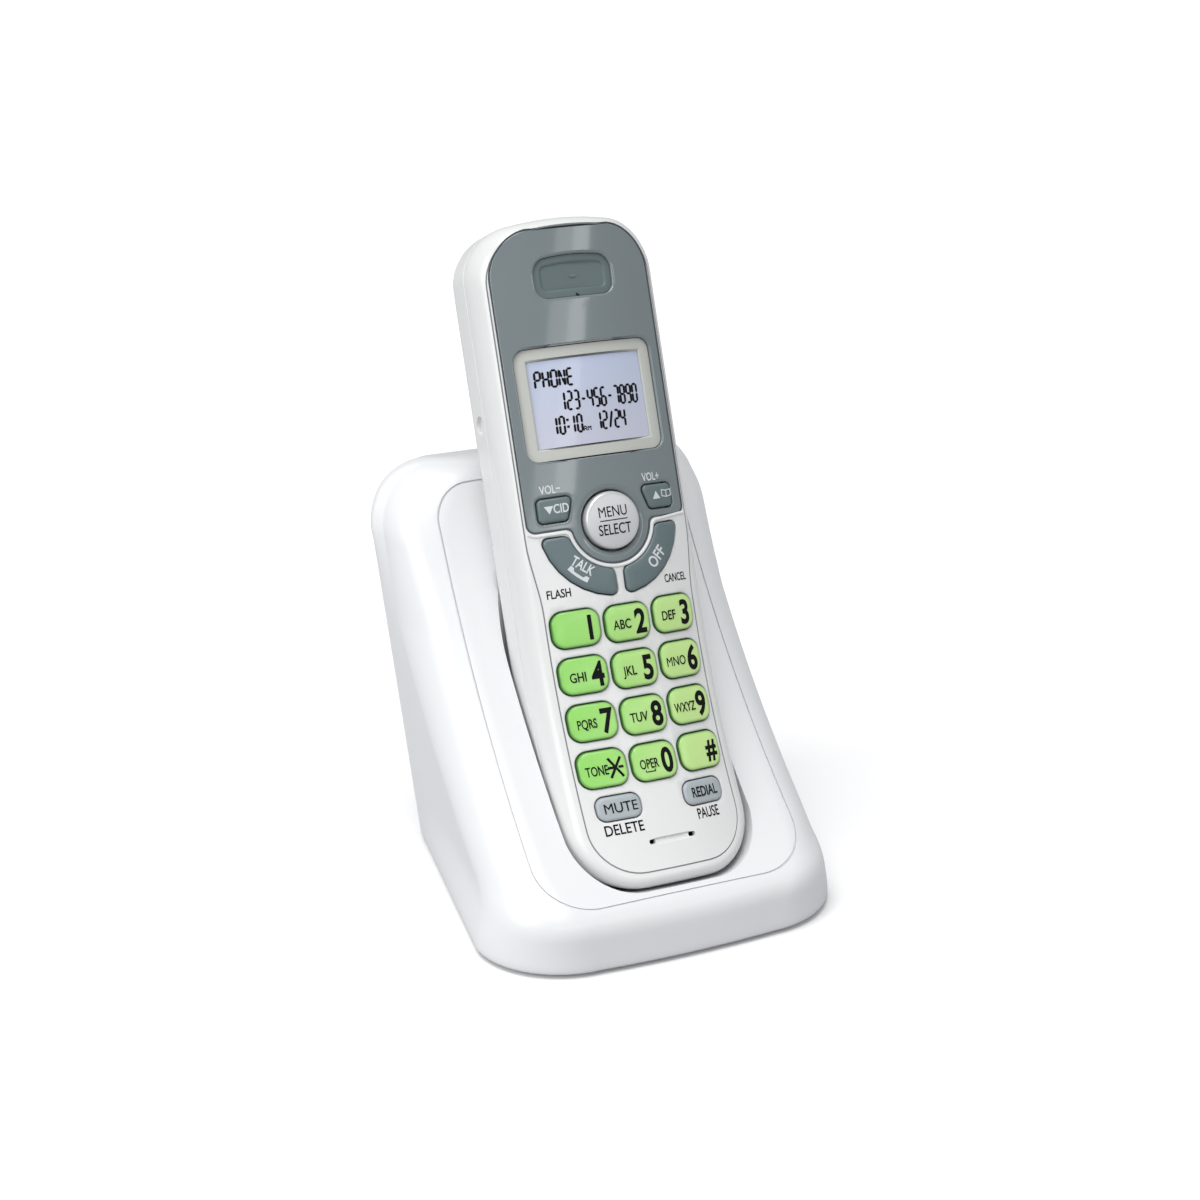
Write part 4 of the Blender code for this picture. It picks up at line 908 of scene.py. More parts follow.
def cut_slab(name, near, far, outline):
    """A slab under the back, within an outline."""
    slab = to_object(name, back_slab(near, far))
    carve(slab, prism(outline, 0.0, CUT_FAR), "INTERSECT")
    return slab


def taken(item):
    """An object's mesh as a bmesh, with the object done away with."""
    mesh = bmesh.new()
    mesh.from_mesh(item.data)
    bpy.data.objects.remove(item, do_unlink=True)
    return mesh


def make_back(look):
    """The rear shell with its openings, and the battery door."""
    rear = to_object("rear_shell", rear_shell())
    carve(rear, taken(cut_slab("recess", -5.0, DOOR_THICKNESS + FIT, door_outline(0.0, DOOR_TRAVEL + FIT))))
    tools = [prism(door_outline(DOOR_LEDGE), BACK_CUT, CUT_FAR)]
    for side in (-1, 1):
        x, half = side * CONTACT_X, CONTACT_WIDTH / 2 + FIT
        low = (x - half, CONTACT_DEPTH - 2.0 - FIT, BOTTOM - 2.0)
        tools.append(block(low, (x + half, CONTACT_DEPTH + 4.5 + FIT, BOTTOM + 6.0 + FIT)))
    for row in range(-2, 3):
        half = 7.0 - 1.1 * abs(row)
        slot = box_outline((0.0, RINGER_Z + RINGER_PITCH * row), (2 * half, 1.1), 0.5)
        tools.append(prism(slot, BACK_CUT, CUT_FAR))
    carve(rear, gather(tools))
    dent = HALF_WIDTH + 0.6
    spots = [cylinder((x, 16.0, 52.0), 2.6, 3.0, (1, 0, 0), 40, 2.2) for x in (-dent, dent)]
    carve(rear, gather(spots))
    finish_piece(rear, look["white"], "handset", LEANING, ("handset_rear_shell",), 40)

    door = to_object("battery_cover", back_slab(0.0, DOOR_THICKNESS))
    edge = 0.45
    rows = [level_row(door_outline(edge), CUT_FAR)]
    rows += [on_back(door_outline(inset), edge - depth + 0.01)
             for depth, inset in ((edge, edge), (0.2, 0.36), (0.0, FIT))]
    rows.append(level_row(door_outline(FIT), 5.0))
    carve(door, skin(rows), "INTERSECT")
    ribs = [door_rib(DOOR[1] + 6.0 + 1.7 * i, 6.5 - 0.6 * i) for i in range(6)]
    carve(door, gather(ribs), "UNION")
    finish_piece(door, look["white"], "battery_door", LEANING, ("battery_door",), 40)


def door_rib(z, reach):
    """A bowed grip rib across the door: a bead on the back, turned to stand outwards."""
    bow = [(reach * share, z + 1.2 * (1 - share ** 2)) for share in (k / 4 - 1 for k in range(9))]
    rib = bead(bow, 0.34, lambda x, z: back(z) - 0.1)
    for vertex in rib.verts:
        vertex.co.y = 2 * back(vertex.co.z) - vertex.co.y - 0.2
    bmesh.ops.recalc_face_normals(rib, faces=rib.faces)
    return rib


def make_display(look):
    frame = to_object("display_frame", face_slab(BEZEL_DEPTH, BEZEL_DEPTH + 2.0, 3.0))
    carve(frame, prism(window_shape(), CUT_NEAR, CUT_FAR), "INTERSECT")
    opening, lip = BEZEL_BORDER + 0.35, 0.45
    rows = [level_row(window_shape(opening), CUT_FAR)]
    rows += rounding(window_shape, (0, 30, 60, 90), opening, -lip, BEZEL_DEPTH - 0.02, lip)
    rows.append(level_row(window_shape(opening - lip), CUT_NEAR))
    carve(frame, skin(rows))
    finish_piece(frame, look["bezel"], "handset", LEANING, ("lcd_bezel",), 40)

    panel = to_object("display_panel", face_slab(BEZEL_DEPTH + 0.6, BEZEL_DEPTH + 1.6, 3.0))
    carve(panel, prism(window_shape(opening + 0.05), CUT_NEAR, CUT_FAR), "INTERSECT")
    finish_piece(panel, look["display"], "handset", LEANING, ("lcd_module",), 40)


def make_earpiece(look):
    cover = to_object("earpiece_dish", face_slab(0.75, 2.0, 3.0))
    carve(cover, prism(ear_shape(), CUT_NEAR, CUT_FAR), "INTERSECT")
    dish = [on_face(ear_shape(1.9), 1.15)] + rounding(ear_shape, (30, 60, 90), 1.9, -0.9, 0.75, 0.4)
    carve(cover, skin(dish + [level_row(ear_shape(1.0), CUT_NEAR)]))
    carve(cover, prism(box_outline((0.0, EAR_Z), EAR_SLOT, 0.65), CUT_NEAR, face(0, EAR_Z) + 1.55))
    finish_piece(cover, look["ear"], "handset", LEANING, ("earpiece_cover",), 40)
    liner = printed_shape(box_outline((0.0, EAR_Z), EAR_SLOT, 0.65, 0.04), face, (1.75, 1.45))
    finish_piece(to_object("ear_slot_liner", liner), look["dark"], "handset", LEANING)
    tongue = printed_shape(box_outline((0.0, EAR_Z), EAR_TONGUE, 0.3), face, (1.5, 1.25))
    finish_piece(to_object("ear_slot_tongue", tongue), look["slate"], "handset", LEANING)


def make_keys(look):
    for name, shape, centre, colour, slot, rise in all_keys():
        key = to_object(name + "_cap", key_body(shape, centre, rise))
        mark_top(key, rise)
        finish_piece(key, look[colour], name, LEANING, (name,), 50)
    profile = [(DOME_RADIUS * k / 8, DOME_TOP - DOME_FALL * (k / 8) ** 2) for k in range(9)]
    edge = MENU_RADIUS - DOME_RADIUS
    for k in range(1, 7):
        angle = math.radians(15 * k)
        across, down = edge * math.sin(angle), edge * (1 - math.cos(angle))
        profile.append((DOME_RADIUS + across, DOME_TOP - DOME_FALL - down))
    disc = turned(profile + [(MENU_RADIUS, -KEY_DEPTH), (0.0, -KEY_DEPTH)], 96)
    bmesh.ops.rotate(disc, cent=(0, 0, 0), matrix=Matrix.Rotation(math.pi / 2, 3, "X"), verts=disc.verts)
    bmesh.ops.translate(disc, vec=(0, 0, MENU_Z), verts=disc.verts)
    disc = to_object("menu_key_cap", disc)
    finish_piece(disc, look["silver"], "menu_key", LEANING, ("menu_key",), 60)


def key_top(rise):
    return lambda x, z: face(x, z) - rise - 0.08


def make_legends(look):
    letters = {"key_2": "ABC", "key_3": "DEF", "key_4": "GHI", "key_5": "JKL", "key_6": "MNO",
               "key_7": "PQRS", "key_8": "TUV", "key_9": "WXYZ", "key_star": "TONE", "key_0": "OPER"}
    figures = {"key_star": "*", "key_hash": "#"}
    for name, (x, z) in digit_keys():
        figure = figures.get(name, name[-1])
        top = key_top(KEY_RISE)
        height, lift = (4.6, 0.1) if figure == "#" else (5.5, 0.0)
        if figure == "*":
            arms = ((57, 2.8), (123, 2.8), (0, 1.9))
            marks = [bar(*star_arm((x + 2.8, z - 0.1), *arm), 0.6, top) for arm in arms]
        else:
            marks = [lettering(figure, (x + 3.1, z - 0.1 + lift), height, top, 0.74, 0.03)]
        if name in letters:
            width = 0.62 if len(letters[name]) > 3 else 0.74
            marks.append(lettering(letters[name], (x - 1.7, z - 0.3), 2.2, top, width, 0.01))
        if name == "key_0":
            corners = [(x - 2.9, z - 1.7), (x - 2.9, z - 2.2), (x - 0.5, z - 2.2), (x - 0.5, z - 1.7)]
            marks += [bar(a, b, 0.24, top) for a, b in zip(corners, corners[1:])]
        finish_piece(to_object(name + "_legend", gather(marks)), look["ink"], name, LEANING)
    for name, word, side in (("mute_key", "MUTE", -1), ("redial_key", "REDIAL", 1)):
        x, z = side * SMALL_KEY_CENTRE[0], SMALL_KEY_CENTRE[1]
        width = 0.95 if side < 0 else 0.66
        mark = lettering(word, (x + 0.2, z + 0.1), 2.3, key_top(KEY_RISE * 0.6), width, 0.012)
        finish_piece(to_object(name + "_legend", mark), look["ink"], name, LEANING)
    top = key_top(KEY_RISE * 0.7)
    talk = lettering("TALK", (-9.2, 14.7), 2.3, top, 0.72, 0.02, math.radians(-38))
    talk = to_object("talk_legend", gather([talk, handset_sign(top)]))
    finish_piece(talk, look["pale_ink"], "talk_key", LEANING)
    off = lettering("OFF", (10.3, 14.2), 2.7, top, 0.8, 0.02, math.radians(45))
    finish_piece(to_object("off_legend", off), look["pale_ink"], "off_key", LEANING)
    top = key_top(KEY_RISE * 0.5)
    for name, side, x in (("volume_down_key", -1, -15.1), ("volume_up_key", 1, 13.0)):
        z = 29.0
        corners = [(x - 1.1 * side, z - 0.9 * side), (x + 1.1 * side, z - 0.9 * side), (x, z + 1.0 * side)]
        marks = [printed_shape(corners, top)]
        if side < 0:
            marks.append(lettering("CID", (-12.2, 29.1), 2.1, top, 0.72, 0.015))
        else:
            marks += book_sign((16.0, 29.1), top)
        finish_piece(to_object(name + "_legend", gather(marks)), look["pale_ink"], name, LEANING)
    printed = []
    for word, place, height, width in (("FLASH", (-15.6, 8.9), 2.0, 0.72),
                                       ("CANCEL", (15.2, 8.6), 1.9, 0.6),
                                       ("DELETE", (-11.1, -48.4), 2.4, 0.82),
                                       ("PAUSE", (11.1, -48.4), 2.4, 0.62)):
        printed.append(lettering(word, place, height, face, width, 0.012))
    finish_piece(to_object("printed_words", gather(printed)), look["ink"], "handset", LEANING)
    pale = [lettering("VOL−", (-14.0, 33.9), 1.9, face, 0.72, 0.015),
            lettering("VOL+", (12.4, 33.7), 1.9, face, 0.72, 0.015)]
    finish_piece(to_object("printed_volume", gather(pale)), look["pale_ink"], "handset", LEANING)
    crown = lambda x, z: DOME_FALL * (x * x + (z - MENU_Z) ** 2) / DOME_RADIUS ** 2 - DOME_TOP
    menu = [lettering("MENU", (0.0, MENU_Z + 2.1), 2.5, crown, 0.76, 0.006),
            lettering("SELECT", (0.0, MENU_Z - 2.2), 2.5, crown, 0.72, 0.006)]
    line = [(0.45 * i, MENU_Z - 0.12) for i in range(-8, 9)]
    line += [(x, MENU_Z + 0.12) for x, z in reversed(line)]
    menu.append(printed_shape(line, crown))
    finish_piece(to_object("menu_legend", gather(menu)), look["ink"], "menu_key", LEANING)


def star_arm(centre, degrees, half):
    """The two ends of one stroke of the star."""
    reach = Vector((math.cos(math.radians(degrees)), math.sin(math.radians(degrees)))) * half
    return Vector(centre) - reach, Vector(centre) + reach


def printed_shape(outline, surface, lifts=(0.05, -0.05)):
    return skin([[(x, surface(x, z) + lift, z) for x, z in outline] for lift in lifts])


def book_sign(centre, surface):
    """An open book, drawn in thin lines."""
    x, z = centre
    lines = [(0.0, -0.75, 0.0, 0.75)]
    for side in (-1, 1):
        edge = side * 1.3
        lines += [(0.0, 0.75, edge, 1.0), (0.0, -0.75, edge, -0.5), (edge, -0.62, edge, 1.1)]
    return [bar((x + a, z + b), (x + c, z + d), 0.24, surface) for a, b, c, d in lines]


def handset_sign(surface):
    """A receiver lying on its back, along the talk key's arc."""
    centre, points = (0.0, MENU_Z), []
    points += arc(centre, 16.5, 218, 238, 10)
    points += arc(centre, 15.2, 238, 234.5, 1)
    points += arc(centre, 15.8, 233, 223, 8)
    points += arc(centre, 15.2, 221.5, 218, 1)
    return printed_shape(points, surface)


STROKES = {
    "a": ((0, 2), (1, 2)), "b": ((1, 2), (1, 1)), "c": ((1, 1), (1, 0)), "d": ((0, 0), (1, 0)),
    "e": ((0, 0), (0, 1)), "f": ((0, 1), (0, 2)), "g": ((0, 1), (1, 1)), "h": ((0, 2), (0.5, 1)),
    "j": ((1, 2), (0.5, 1)), "m": ((0.5, 1), (1, 0)), "s": ((0.1, 0), (0.9, 2)),
}
SIGNS = {
    "0": "abcdef", "1": "bc", "2": "abged", "3": "abgcd", "4": "fgbc", "5": "afgcd", "6": "afgedc",
    "7": "abc", "8": "abcdefg", "9": "gfabcd", "P": "abefg", "H": "bcefg", "O": "abcdef",
    "N": "bcefhm", "E": "adefg", "A": "abcefg", "M": "bcefhj", "-": "g", "/": "s",
}


def display_line(text, left, base, size, pitch, surface):
    """Characters made of short bars, as a liquid crystal shows them."""
    bars, x = [], left
    wide, tall = size
    for sign in text:
        if sign == ":":
            for share in (0.3, 0.7):
                spot = (x + 0.3, base + tall * share)
                bars.append(bar(spot, (spot[0], spot[1] + 0.6), 0.6, surface))
            x += pitch * 0.45
            continue
        narrow = 0.12 if sign == "1" else 0.0
        for stroke in SIGNS.get(sign, ""):
            ends = []
            for a, b in STROKES[stroke]:
                ends.append((x + a * wide - narrow + b * tall / 2 * 0.03, base + b * tall / 2))
            bars.append(bar(*ends, 0.56 if wide > 1.0 else 0.3, surface, 0.04))
        x += pitch * (0.55 if sign in " " else 1.0)
    return bars


def bar(start, end, width, surface, gap=0.0):
    start, end = Vector(start), Vector(end)
    way = (end - start).normalized()
    side = Vector((-way.y, way.x)) * width / 2
    start, end = start + way * gap, end - way * gap
    tip = way * width / 2
    corners = [start, start + tip - side, end - tip - side, end, end - tip + side, start + tip + side]
    if gap == 0.0:
        corners = [start - side, end - side, end + side, start + side]
    return printed_shape(corners, surface, (0.03, -0.03))


def make_readout(look):
    surface = lambda x, z: face(x, z) + BEZEL_DEPTH + 0.58
    bars = display_line("PHONE", -13.2, 58.2, (1.35, 3.9), 2.0, surface)
    bars += display_line("123-456-7890", -7.8, 52.3, (1.15, 4.3), 1.76, surface)
    bars += display_line("10:10", -10.6, 46.7, (1.15, 4.1), 1.8, surface)
    bars += display_line("AM", -2.9, 46.7, (0.7, 1.1), 1.1, surface)
    bars += display_line("12/24", 0.6, 46.7, (1.15, 4.1), 1.65, surface)
    finish_piece(to_object("display_readout", gather(bars)), look["ink"], "handset", LEANING)


# ---- base surfaces ----
def panel_line():
    """The panel's way up, its way out and its length, in y and z."""
    along = PANEL_HEAD - PANEL_FOOT
    direction = along.normalized()
    return direction, Vector((-direction.y, direction.x)), along.length


def panel_arc():
    """Centre and radius of the panel's hollow profile."""
    direction, outward, length = panel_line()
    radius = length * length / (8 * PANEL_SAG) + PANEL_SAG / 2
    return PANEL_FOOT + direction * (length / 2) + outward * (radius - PANEL_SAG), radius


def base_front(z):
    """y of the panel's middle at a height: nose, hollow panel, rounded top."""
    centre, radius = panel_arc()
    if z < PANEL_FOOT.y:
        nose = PANEL_FOOT + (PANEL_FOOT - centre).normalized() * NOSE_RADIUS
        rise = max(0.0, z - nose.y)
        return nose.x - math.sqrt(NOSE_RADIUS ** 2 - rise ** 2) - PANEL_CROWN
    start = BASE_HEIGHT - TOP_FRONT_EDGE[1]
    on_arc = min(z, start)
    run = math.sqrt(radius ** 2 - (on_arc - centre.y) ** 2)
    slope = (centre.y - on_arc) / run
    turn = TOP_FRONT_EDGE[0] * quarter(z, start, TOP_FRONT_EDGE[1])
    return centre.x + run - PANEL_CROWN + max(0.0, z - start) * slope + turn


def base_rear(z):
    """y of the base's back at a height."""
    lean = REAR_LOW + (REAR_HIGH - REAR_LOW) * z / BASE_HEIGHT
    return lean - TOP_REAR_EDGE * quarter(z, BASE_HEIGHT - TOP_REAR_EDGE, TOP_REAR_EDGE)


def base_half_widths(z):
    """Half the base's width at its front and at its back, at a height."""
    front = FOOT_HALF_WIDTH + (WAIST_HALF_WIDTH - FOOT_HALF_WIDTH) * ease(z, LOWER_EDGE, WAIST_HEIGHT)
    rear = HEEL_HALF_WIDTH + (REAR_HALF_WIDTH - HEEL_HALF_WIDTH) * min(1.0, z / TOP_SHARE_HEIGHT)
    corner = TOP_CORNER * quarter(z, BASE_HEIGHT - TOP_CORNER, TOP_CORNER)
    return front - corner, rear - corner


def base_ring(z, inset=0.0, level=None):
    """The base's outline at a height, drawn in by an inset."""
    front, rear = base_front(z) + inset, base_rear(z) - inset
    half_front, half_rear = (half - inset for half in base_half_widths(z))
    depth = rear - front
    share = ease(z, 3.0, WAIST_HEIGHT + 6.0)
    across, along = (low + (high - low) * share - inset / 2 for low, high in zip(FOOT_SHOULDER, SHOULDER))
    along = min(along, depth * 0.5)
    corner = min(REAR_CORNER - inset / 2, depth * 0.35)
    flat = half_front - across
    side = front + PANEL_CROWN * 1.2
    right = [(flat * i / 12, front + PANEL_CROWN * 1.2 * (i / 12) ** 2) for i in range(12)]
    for i in range(0, 31):
        angle = math.radians(3 * i)
        right.append((flat + across * math.sin(angle), side + along * (1 - math.cos(angle))))
    start, end = (half_front, side + along), (half_rear, rear - corner)
    right += [tuple(a + (b - a) * i / 16 for a, b in zip(start, end)) for i in range(1, 16)]
    for i in range(0, 17):
        angle = math.radians(5.625 * i)
        right.append((half_rear - corner * (1 - math.cos(angle)), rear - corner * (1 - math.sin(angle))))
    right += [((half_rear - corner) * i / 8, rear) for i in range(7, -1, -1)]
    left = [(-x, y) for x, y in reversed(right[1:-1])]
    height = z if level is None else level
    return [(x, y, height) for x, y in right + left]


def base_levels():
    low, high = FLOOR_GAP + LOWER_EDGE, BASE_HEIGHT - TOP_CORNER
    levels = [low + (high - low) * i / 64 for i in range(65)]
    return levels + [BASE_HEIGHT - TOP_CORNER * math.cos(math.radians(a)) for a in range(4, 89, 4)]


def base_body(inset=0.0):
    """The whole base as one solid, rounded under its lower edge."""
    rings = []
    for turn in (0, 22, 45, 67, 90):
        angle = math.radians(turn)
        rings.append(base_ring(FLOOR_GAP + LOWER_EDGE, inset + LOWER_EDGE * (1 - math.sin(angle)),
                               FLOOR_GAP + LOWER_EDGE * (1 - math.cos(angle))))
    rings += [base_ring(z, inset) for z in base_levels()[1:]]
    return skin(rings)


def base_hollow():
    """The room inside the housing."""
    rings = [base_ring(LOWER_EDGE, UNDERSIDE_INSET, -5.0), base_ring(LOWER_EDGE, UNDERSIDE_INSET)]
    rings += [base_ring(z, BASE_WALL) for z in base_levels()[4::4] if z < BASE_HEIGHT - 9.0]
    return skin(rings)


def panel_point(x, along, out):
    """A place given across, along and out of the panel."""
    direction, outward = panel_line()[:2]
    place = PANEL_FOOT + direction * along + outward * out
    return (x, place.x, place.y)


def panel_prism(inset, near=-14.0, far=12.0):
    length = panel_line()[2]
    outline = rounded(PANEL_HALF_LOW, 0, length, PANEL_CORNER_LOW, PANEL_CORNER_HIGH, inset, 14, 0.0, 40)
    narrowing = (PANEL_HALF_LOW - PANEL_HALF_HIGH) / PANEL_HALF_LOW
    tapered = [(x * (1 - narrowing * s / length), s) for x, s in outline]
    return skin([[panel_point(x, s, out) for x, s in tapered] for out in (near, far)])


def back_edge(z):
    """Depth of the back at a height, with its rounded lower end."""
    short = max(0.0, BOTTOM + BACK_EDGE - z)
    return back(z) - BACK_EDGE + math.sqrt(max(0.0, BACK_EDGE ** 2 - short ** 2))


def side_edge(z):
    """Half the handset's width at a height, with its rounded lower end."""
    short = max(0.0, BOTTOM + CORNER_LOW - z)
    return HALF_WIDTH - CORNER_LOW + math.sqrt(max(0.0, CORNER_LOW ** 2 - short ** 2))


def well(margin, sink):
    """The room that the handset's lower end stands in, in the handset's frame."""
    heights = [14.0 * (1 - math.cos(math.radians(5 * i))) for i in range(19)]
    heights += [14.0 + 6.0 * i for i in range(1, 19)]
    heights.append(WELL_TOP - BOTTOM)
    rings, deepest = [], -50.0
    for rise in heights:
        z = BOTTOM + rise
        half = side_edge(z) + margin
        deepest = max(deepest, back_edge(z) + margin)
        corner = min(8.0, half / 2, (deepest - WELL_FRONT) / 2)
        right = [(half, WELL_FRONT + (deepest - corner - WELL_FRONT) * i / 12) for i in range(12)]
        right += arc((half - corner, deepest - corner), corner, 0, 90, 12)
        outline = right + [(-x, y) for x, y in reversed(right)]
        rings.append([(x, y, z - sink) for x, y in outline])
    mesh = skin(rings)
    bmesh.ops.transform(mesh, matrix=LEANING, verts=mesh.verts)
    return mesh


# ---- base pieces ----
def find_key_place():
    """Where the find key's axis leaves the panel, and the panel's outward way there."""
    radius = panel_arc()[1]
    direction, outward, length = panel_line()
    offset = FIND_KEY_PLACE - length / 2
    out = (radius - PANEL_SAG) - math.sqrt(radius ** 2 - offset ** 2)
    place = Vector(panel_point(0, FIND_KEY_PLACE, out + PANEL_CROWN * direction.y))
    return place, Vector((0.0, outward.x, outward.y))


def jack_boxes(grow):
    """The two sockets' bodies, grown by a gap."""
    back_face = base_rear(JACK_Z) - 0.6
    across, up, deep = LINE_SOCKET
    half, tall = across / 2 + JACK_WALL + grow, up / 2 + JACK_WALL + grow
    side = POWER_SOCKET_RADIUS + JACK_WALL + grow
    near = back_face - deep - JACK_WALL
    for x, out, rise in ((LINE_JACK_X, half, tall), (POWER_JACK_X, side, side)):
        yield (x - out, near, JACK_Z - rise), (x + out, BEHIND, JACK_Z + rise)


def make_base(look):
    housing = to_object("housing", base_body())
    carve(housing, base_hollow())
    carve(housing, panel_prism(0.0))
    carve(housing, gather([block(low, high) for low, high in jack_boxes(FIT)]))
    finish_piece(housing, look["base_white"], "base", UPRIGHT, ("base_housing",), 50)

    panel = to_object("cradle", panel_prism(GROOVE))
    carve(panel, base_body(), "INTERSECT")
    room = to_object("room", base_hollow())
    carve(room, well(WELL_CLEARANCE + WELL_WALL, SEAT_GAP + WELL_WALL))
    carve(panel, taken(room))
    cup = to_object("cup", well(WELL_CLEARANCE + WELL_WALL, SEAT_GAP + WELL_WALL))
    carve(cup, base_hollow(), "INTERSECT")
    carve(panel, taken(cup), "UNION")
    carve(panel, well(WELL_CLEARANCE, SEAT_GAP))
    spots = [(x, CONTACT_DEPTH, BOTTOM - SEAT_GAP) for x in (-CONTACT_X, CONTACT_X)]
    pins = gather([cylinder(spot, PIN_RADIUS + FIT, 12, (0, 0, 1), 32) for spot in spots])
    bmesh.ops.transform(pins, matrix=LEANING, verts=pins.verts)
    carve(panel, pins)
    place, outward = find_key_place()
    carve(panel, cylinder(place, FIND_KEY_RADIUS + FIT, 20, outward, 64))
    finish_piece(panel, look["base_white"], "base", UPRIGHT, ("cradle_panel",), 50)

    seam = to_object("panel_seam", panel_prism(0.04))
    carve(seam, panel_prism(GROOVE - 0.04, -15.0, 13.0))
    carve(seam, base_body(0.55), "INTERSECT")
    carve(seam, base_hollow())
    finish_piece(seam, look["base_white"], "base", UPRIGHT)
    make_find_key(look)
    make_underside(look)
    make_sockets(look)


def make_find_key(look):
    """The key that rings the handset, with the sign of a ringing receiver."""
    place, outward = find_key_place()
    top, radius = FIND_KEY_RISE, FIND_KEY_RADIUS
    profile = [(0.0, top - 0.15)]
    profile += [(radius * 0.72 * k / 6, top - 0.15 + 0.15 * (k / 6) ** 2) for k in range(1, 7)]
    profile += [(radius - 0.8 + 0.8 * math.sin(math.radians(a)), top - 0.8 + 0.8 * math.cos(math.radians(a)))
                for a in range(0, 91, 15)]
    profile += [(radius, -3.4), (0.0, -3.4)]
    key = turned(profile, 64)
    turn = Vector((0, 0, 1)).rotation_difference(outward).to_matrix().to_4x4()
    frame = Matrix.Translation(place) @ turn
    name = "find_handset_key"
    finish_piece(to_object("find_key", key), look["blue_grey"], name, frame, (name,), 40)
    bow = arc((0.0, -1.4), 2.6, 35, 145, 12) + arc((0.0, -1.4), 1.9, 145, 35, 12)
    ends = [arc((side * 1.85, 0.05), 0.62, 0, 345, 12) for side in (-1, 1)]
    marks = [post(outline, top, top - 0.2) for outline in [bow] + ends]
    finish_piece(to_object("find_key_sign", gather(marks)), look["ink"], name, frame)


def make_underside(look):
    """The plate under the base, with vents, hanging slots, screws and rubber feet."""
    low, high = UNDERSIDE, UNDERSIDE + BASE_PLATE_THICKNESS
    edge, inset = 0.5, UNDERSIDE_INSET + FIT
    rows = ((0.0, high), (0.0, low + edge), (edge * 0.3, low + edge * 0.3), (edge, low))
    plate = to_object("underside", skin([base_ring(LOWER_EDGE, inset + step, z) for step, z in rows]))
    through = (-1.0, high + 1.0)
    tools = [cylinder((x, y, 0.0), FOOT_RADIUS + FIT, 2 * (FOOT_THICKNESS + FIT), (0, 0, 1), 48)
             for x, y in FOOT_PLACES]
    for y in VENT_ROWS:
        tools += [post(box_outline((VENT_PITCH * i, y), VENT_SIZE, 0.55), *through) for i in range(-4, 5)]
    hangers = (-HANGER_X, HANGER_X)
    tools += [cylinder((x, -8.0, 0.0), 3.6, 20.0, (0, 0, 1), 40) for x in hangers]
    tools += [cylinder((x, y, 0.0), 3.0, 2 * (low + 1.4), (0, 0, 1), 40) for x, y in SCREW_PLACES]
    carve(plate, gather(tools))
    carve(plate, gather([post(box_outline((x, -2.5), (3.4, 11.0), 1.6), *through) for x in hangers]))
    carve(plate, post(box_outline((0.0, -4.0), LABEL_SIZE, 1.5), -1.0, low + 0.3))
    finish_piece(plate, look["base_white"], "base", UPRIGHT, ("base_plate",), 40)
    heads = gather([screw_head(x, y, low) for x, y in SCREW_PLACES])
    finish_piece(to_object("screws", heads), look["nickel"], "base")
    for i, (x, y) in enumerate(FOOT_PLACES):
        profile = [(0.0, 0.0), (FOOT_RADIUS - 1.2, 0.0), (FOOT_RADIUS - 0.5, 0.18), (FOOT_RADIUS - 0.12, 0.6),
                   (FOOT_RADIUS, 1.1), (FOOT_RADIUS, FOOT_THICKNESS), (0.0, FOOT_THICKNESS)]
        foot = turned(profile, 48)
        bmesh.ops.translate(foot, vec=(x, y, 0.0), verts=foot.verts)
        name = "foot_" + str(i + 1)
        foot = to_object("rubber_" + name, foot)
        finish_piece(foot, look["rubber"], "base", UPRIGHT, (name,), 40)


def screw_head(x, y, low):
    """A pan head with a cross in it, sunk in the underside."""
    head = turned([(0.0, 0.25), (2.1, 0.25), (2.6, 0.7), (2.6, 1.0), (0.0, 1.0)], 40)
    bmesh.ops.translate(head, vec=(x, y, low + 0.1), verts=head.verts)
    head = to_object("head", head)
    for across, along in ((1.5, 0.3), (0.3, 1.5)):
        carve(head, block((x - across, y - along, low - 1.0), (x + across, y + along, low + 0.75)))
    return taken(head)


def make_sockets(look):
    """Gilt wires in the line socket."""
    back_face = base_rear(JACK_Z) - 0.6
    up, deep = LINE_SOCKET[1:]
    path = ((back_face - 1.4, JACK_Z + up / 2 - 0.3), (back_face - 4.0, JACK_Z + 1.6),
            (back_face - deep + 1.0, JACK_Z - 1.4))
    wires = []
    for x in (LINE_JACK_X + 1.02 * (i - 1.5) for i in range(4)):
        around = arc((0.0, 0.0), 0.22, 0, 324, 9)
        wires.append(skin([[(x + a, y + b / 2, z + b) for a, b in around] for y, z in path]))
    finish_piece(to_object("line_wires", gather(wires)), look["gold"], "base")


# ---- stage ----
CAMERA_PLACE, CAMERA_LENS = (-217.5, -482.1, 275.2), 69.0
CAMERA_TURN, CAMERA_TILT = math.radians(24.2), math.radians(20.9)
STREAK_LEFT, STREAK_RIGHT = Vector((-0.5, -0.9, 0.27)), Vector((0.9, -0.9, 0.773))


def sun(name, way, power, spread):
    """Even light that comes from a direction, as soft as its spread in degrees."""
    data = bpy.data.lights.new(name, "SUN")
    data.energy, data.angle = power, math.radians(spread)
    lamp = bpy.data.objects.new(name, data)
    lamp.rotation_euler = Vector(way).to_track_quat("Z", "Y").to_euler()
    bpy.context.scene.collection.objects.link(lamp)


def floor_paper():
    """White paper that throws less light back than it shows."""
    made = plastic("floor_paper", (0.95, 0.95, 0.95), (0.96, 0.96, 0.96), 0.9, 0.05, 800.0, 0.0, specular=0.0)
    tree, link = made.node_tree.nodes, made.node_tree.links.new
    seen = tree.new("ShaderNodeLightPath").outputs["Is Camera Ray"]
    link(mix_colours(tree, link, seen, (0.52, 0.52, 0.53), (0.97, 0.97, 0.97)),
         tree["Principled BSDF"].inputs["Base Color"])
    return made


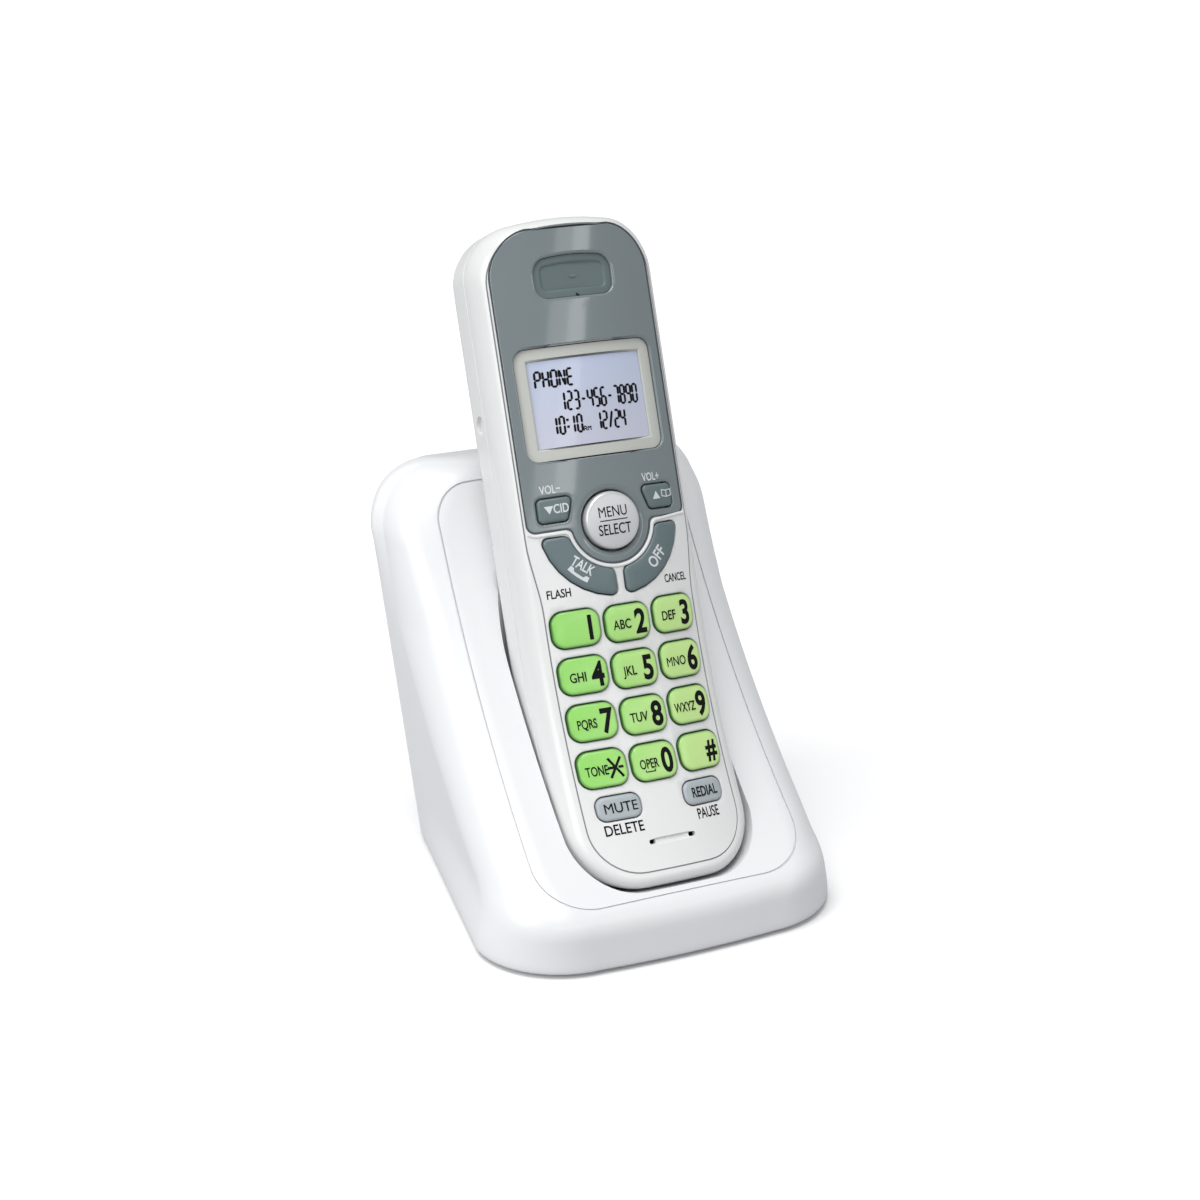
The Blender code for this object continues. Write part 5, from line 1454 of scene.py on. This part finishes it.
def make_stage():
    floor = to_object("floor", cylinder((0, 0, -5.0), 3000.0, 10.0, (0, 0, 1), 96))
    floor.data.transform(Matrix.Scale(MM, 4))
    floor.data.materials.append(floor_paper())
    world = bpy.data.worlds.new("studio")
    world.use_nodes = True
    tree, link = world.node_tree.nodes, world.node_tree.links.new
    seen = tree.new("ShaderNodeLightPath").outputs["Is Camera Ray"]
    shade = mix_colours(tree, link, seen, (0.437, 0.441, 0.45), (1.0, 1.0, 1.0))
    link(shade, tree["Background"].inputs["Color"])
    bpy.context.scene.world = world
    bpy.context.scene.view_settings.view_transform = "Standard"
    sun("overhead", (-0.22, -0.12, 0.97), 1.85, 40.0)
    sun("left_window", (-0.88, -0.16, 0.42), 1.1, 40.0)
    for name, height, power in (("strip_bright", 0.06, 0.75), ("strip_soft", 0.12, 0.7)):
        strip_light(name, height, power)


def strip_light(name, height, power):
    """A long lamp before the telephone, whose lower edge shows as a streak in the faceplate."""
    along = STREAK_RIGHT - STREAK_LEFT
    data = bpy.data.lights.new(name, "AREA")
    data.shape, data.size, data.size_y, data.energy = "RECTANGLE", along.length, height, power
    upward = Vector((-along.z, 0.0, along.x)).normalized()
    lamp = bpy.data.objects.new(name, data)
    axes = Matrix((along.normalized(), upward, along.normalized().cross(upward))).transposed()
    middle = (STREAK_LEFT + STREAK_RIGHT) / 2 + upward * height / 2
    lamp.matrix_world = Matrix.Translation(middle) @ axes.to_4x4()
    bpy.context.scene.collection.objects.link(lamp)


def make_camera():
    """The view from the front left, a little above."""
    data = bpy.data.cameras.new("camera")
    data.lens, data.sensor_width = CAMERA_LENS, 36.0
    data.clip_start = 0.01
    camera = bpy.data.objects.new("camera", data)
    turn, tilt = CAMERA_TURN, CAMERA_TILT
    view = Vector((math.sin(turn) * math.cos(tilt), math.cos(turn) * math.cos(tilt), -math.sin(tilt)))
    camera.location = Vector(CAMERA_PLACE) * MM
    camera.rotation_euler = view.to_track_quat("-Z", "Y").to_euler()
    bpy.context.scene.collection.objects.link(camera)
    bpy.context.scene.camera = camera


WEAR = {  # the finish of each node that is kept as it is
    "cell": ("battery_1", "battery_2"), "gold": ("charge_pin_1", "charge_pin_2"),
    "nickel": ("battery_contact_1", "battery_contact_2", "charge_contact_1", "charge_contact_2"),
    "board": ("handset_board", "base_board"), "membrane": ("keypad_membrane",),
    "dark": ("microphone", "earpiece_speaker", "ringer", "line_jack", "power_jack"),
}


def main():
    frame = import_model()
    make_camera()
    look = make_materials()
    make_stage()
    for colour, nodes in WEAR.items():
        for node in nodes:
            for slot in frame["nodes"][node].material_slots:
                slot.material = look[colour]
    make_shells(look)
    make_back(look)
    make_display(look)
    make_earpiece(look)
    make_keys(look)
    make_legends(look)
    make_readout(look)
    make_base(look)


main()
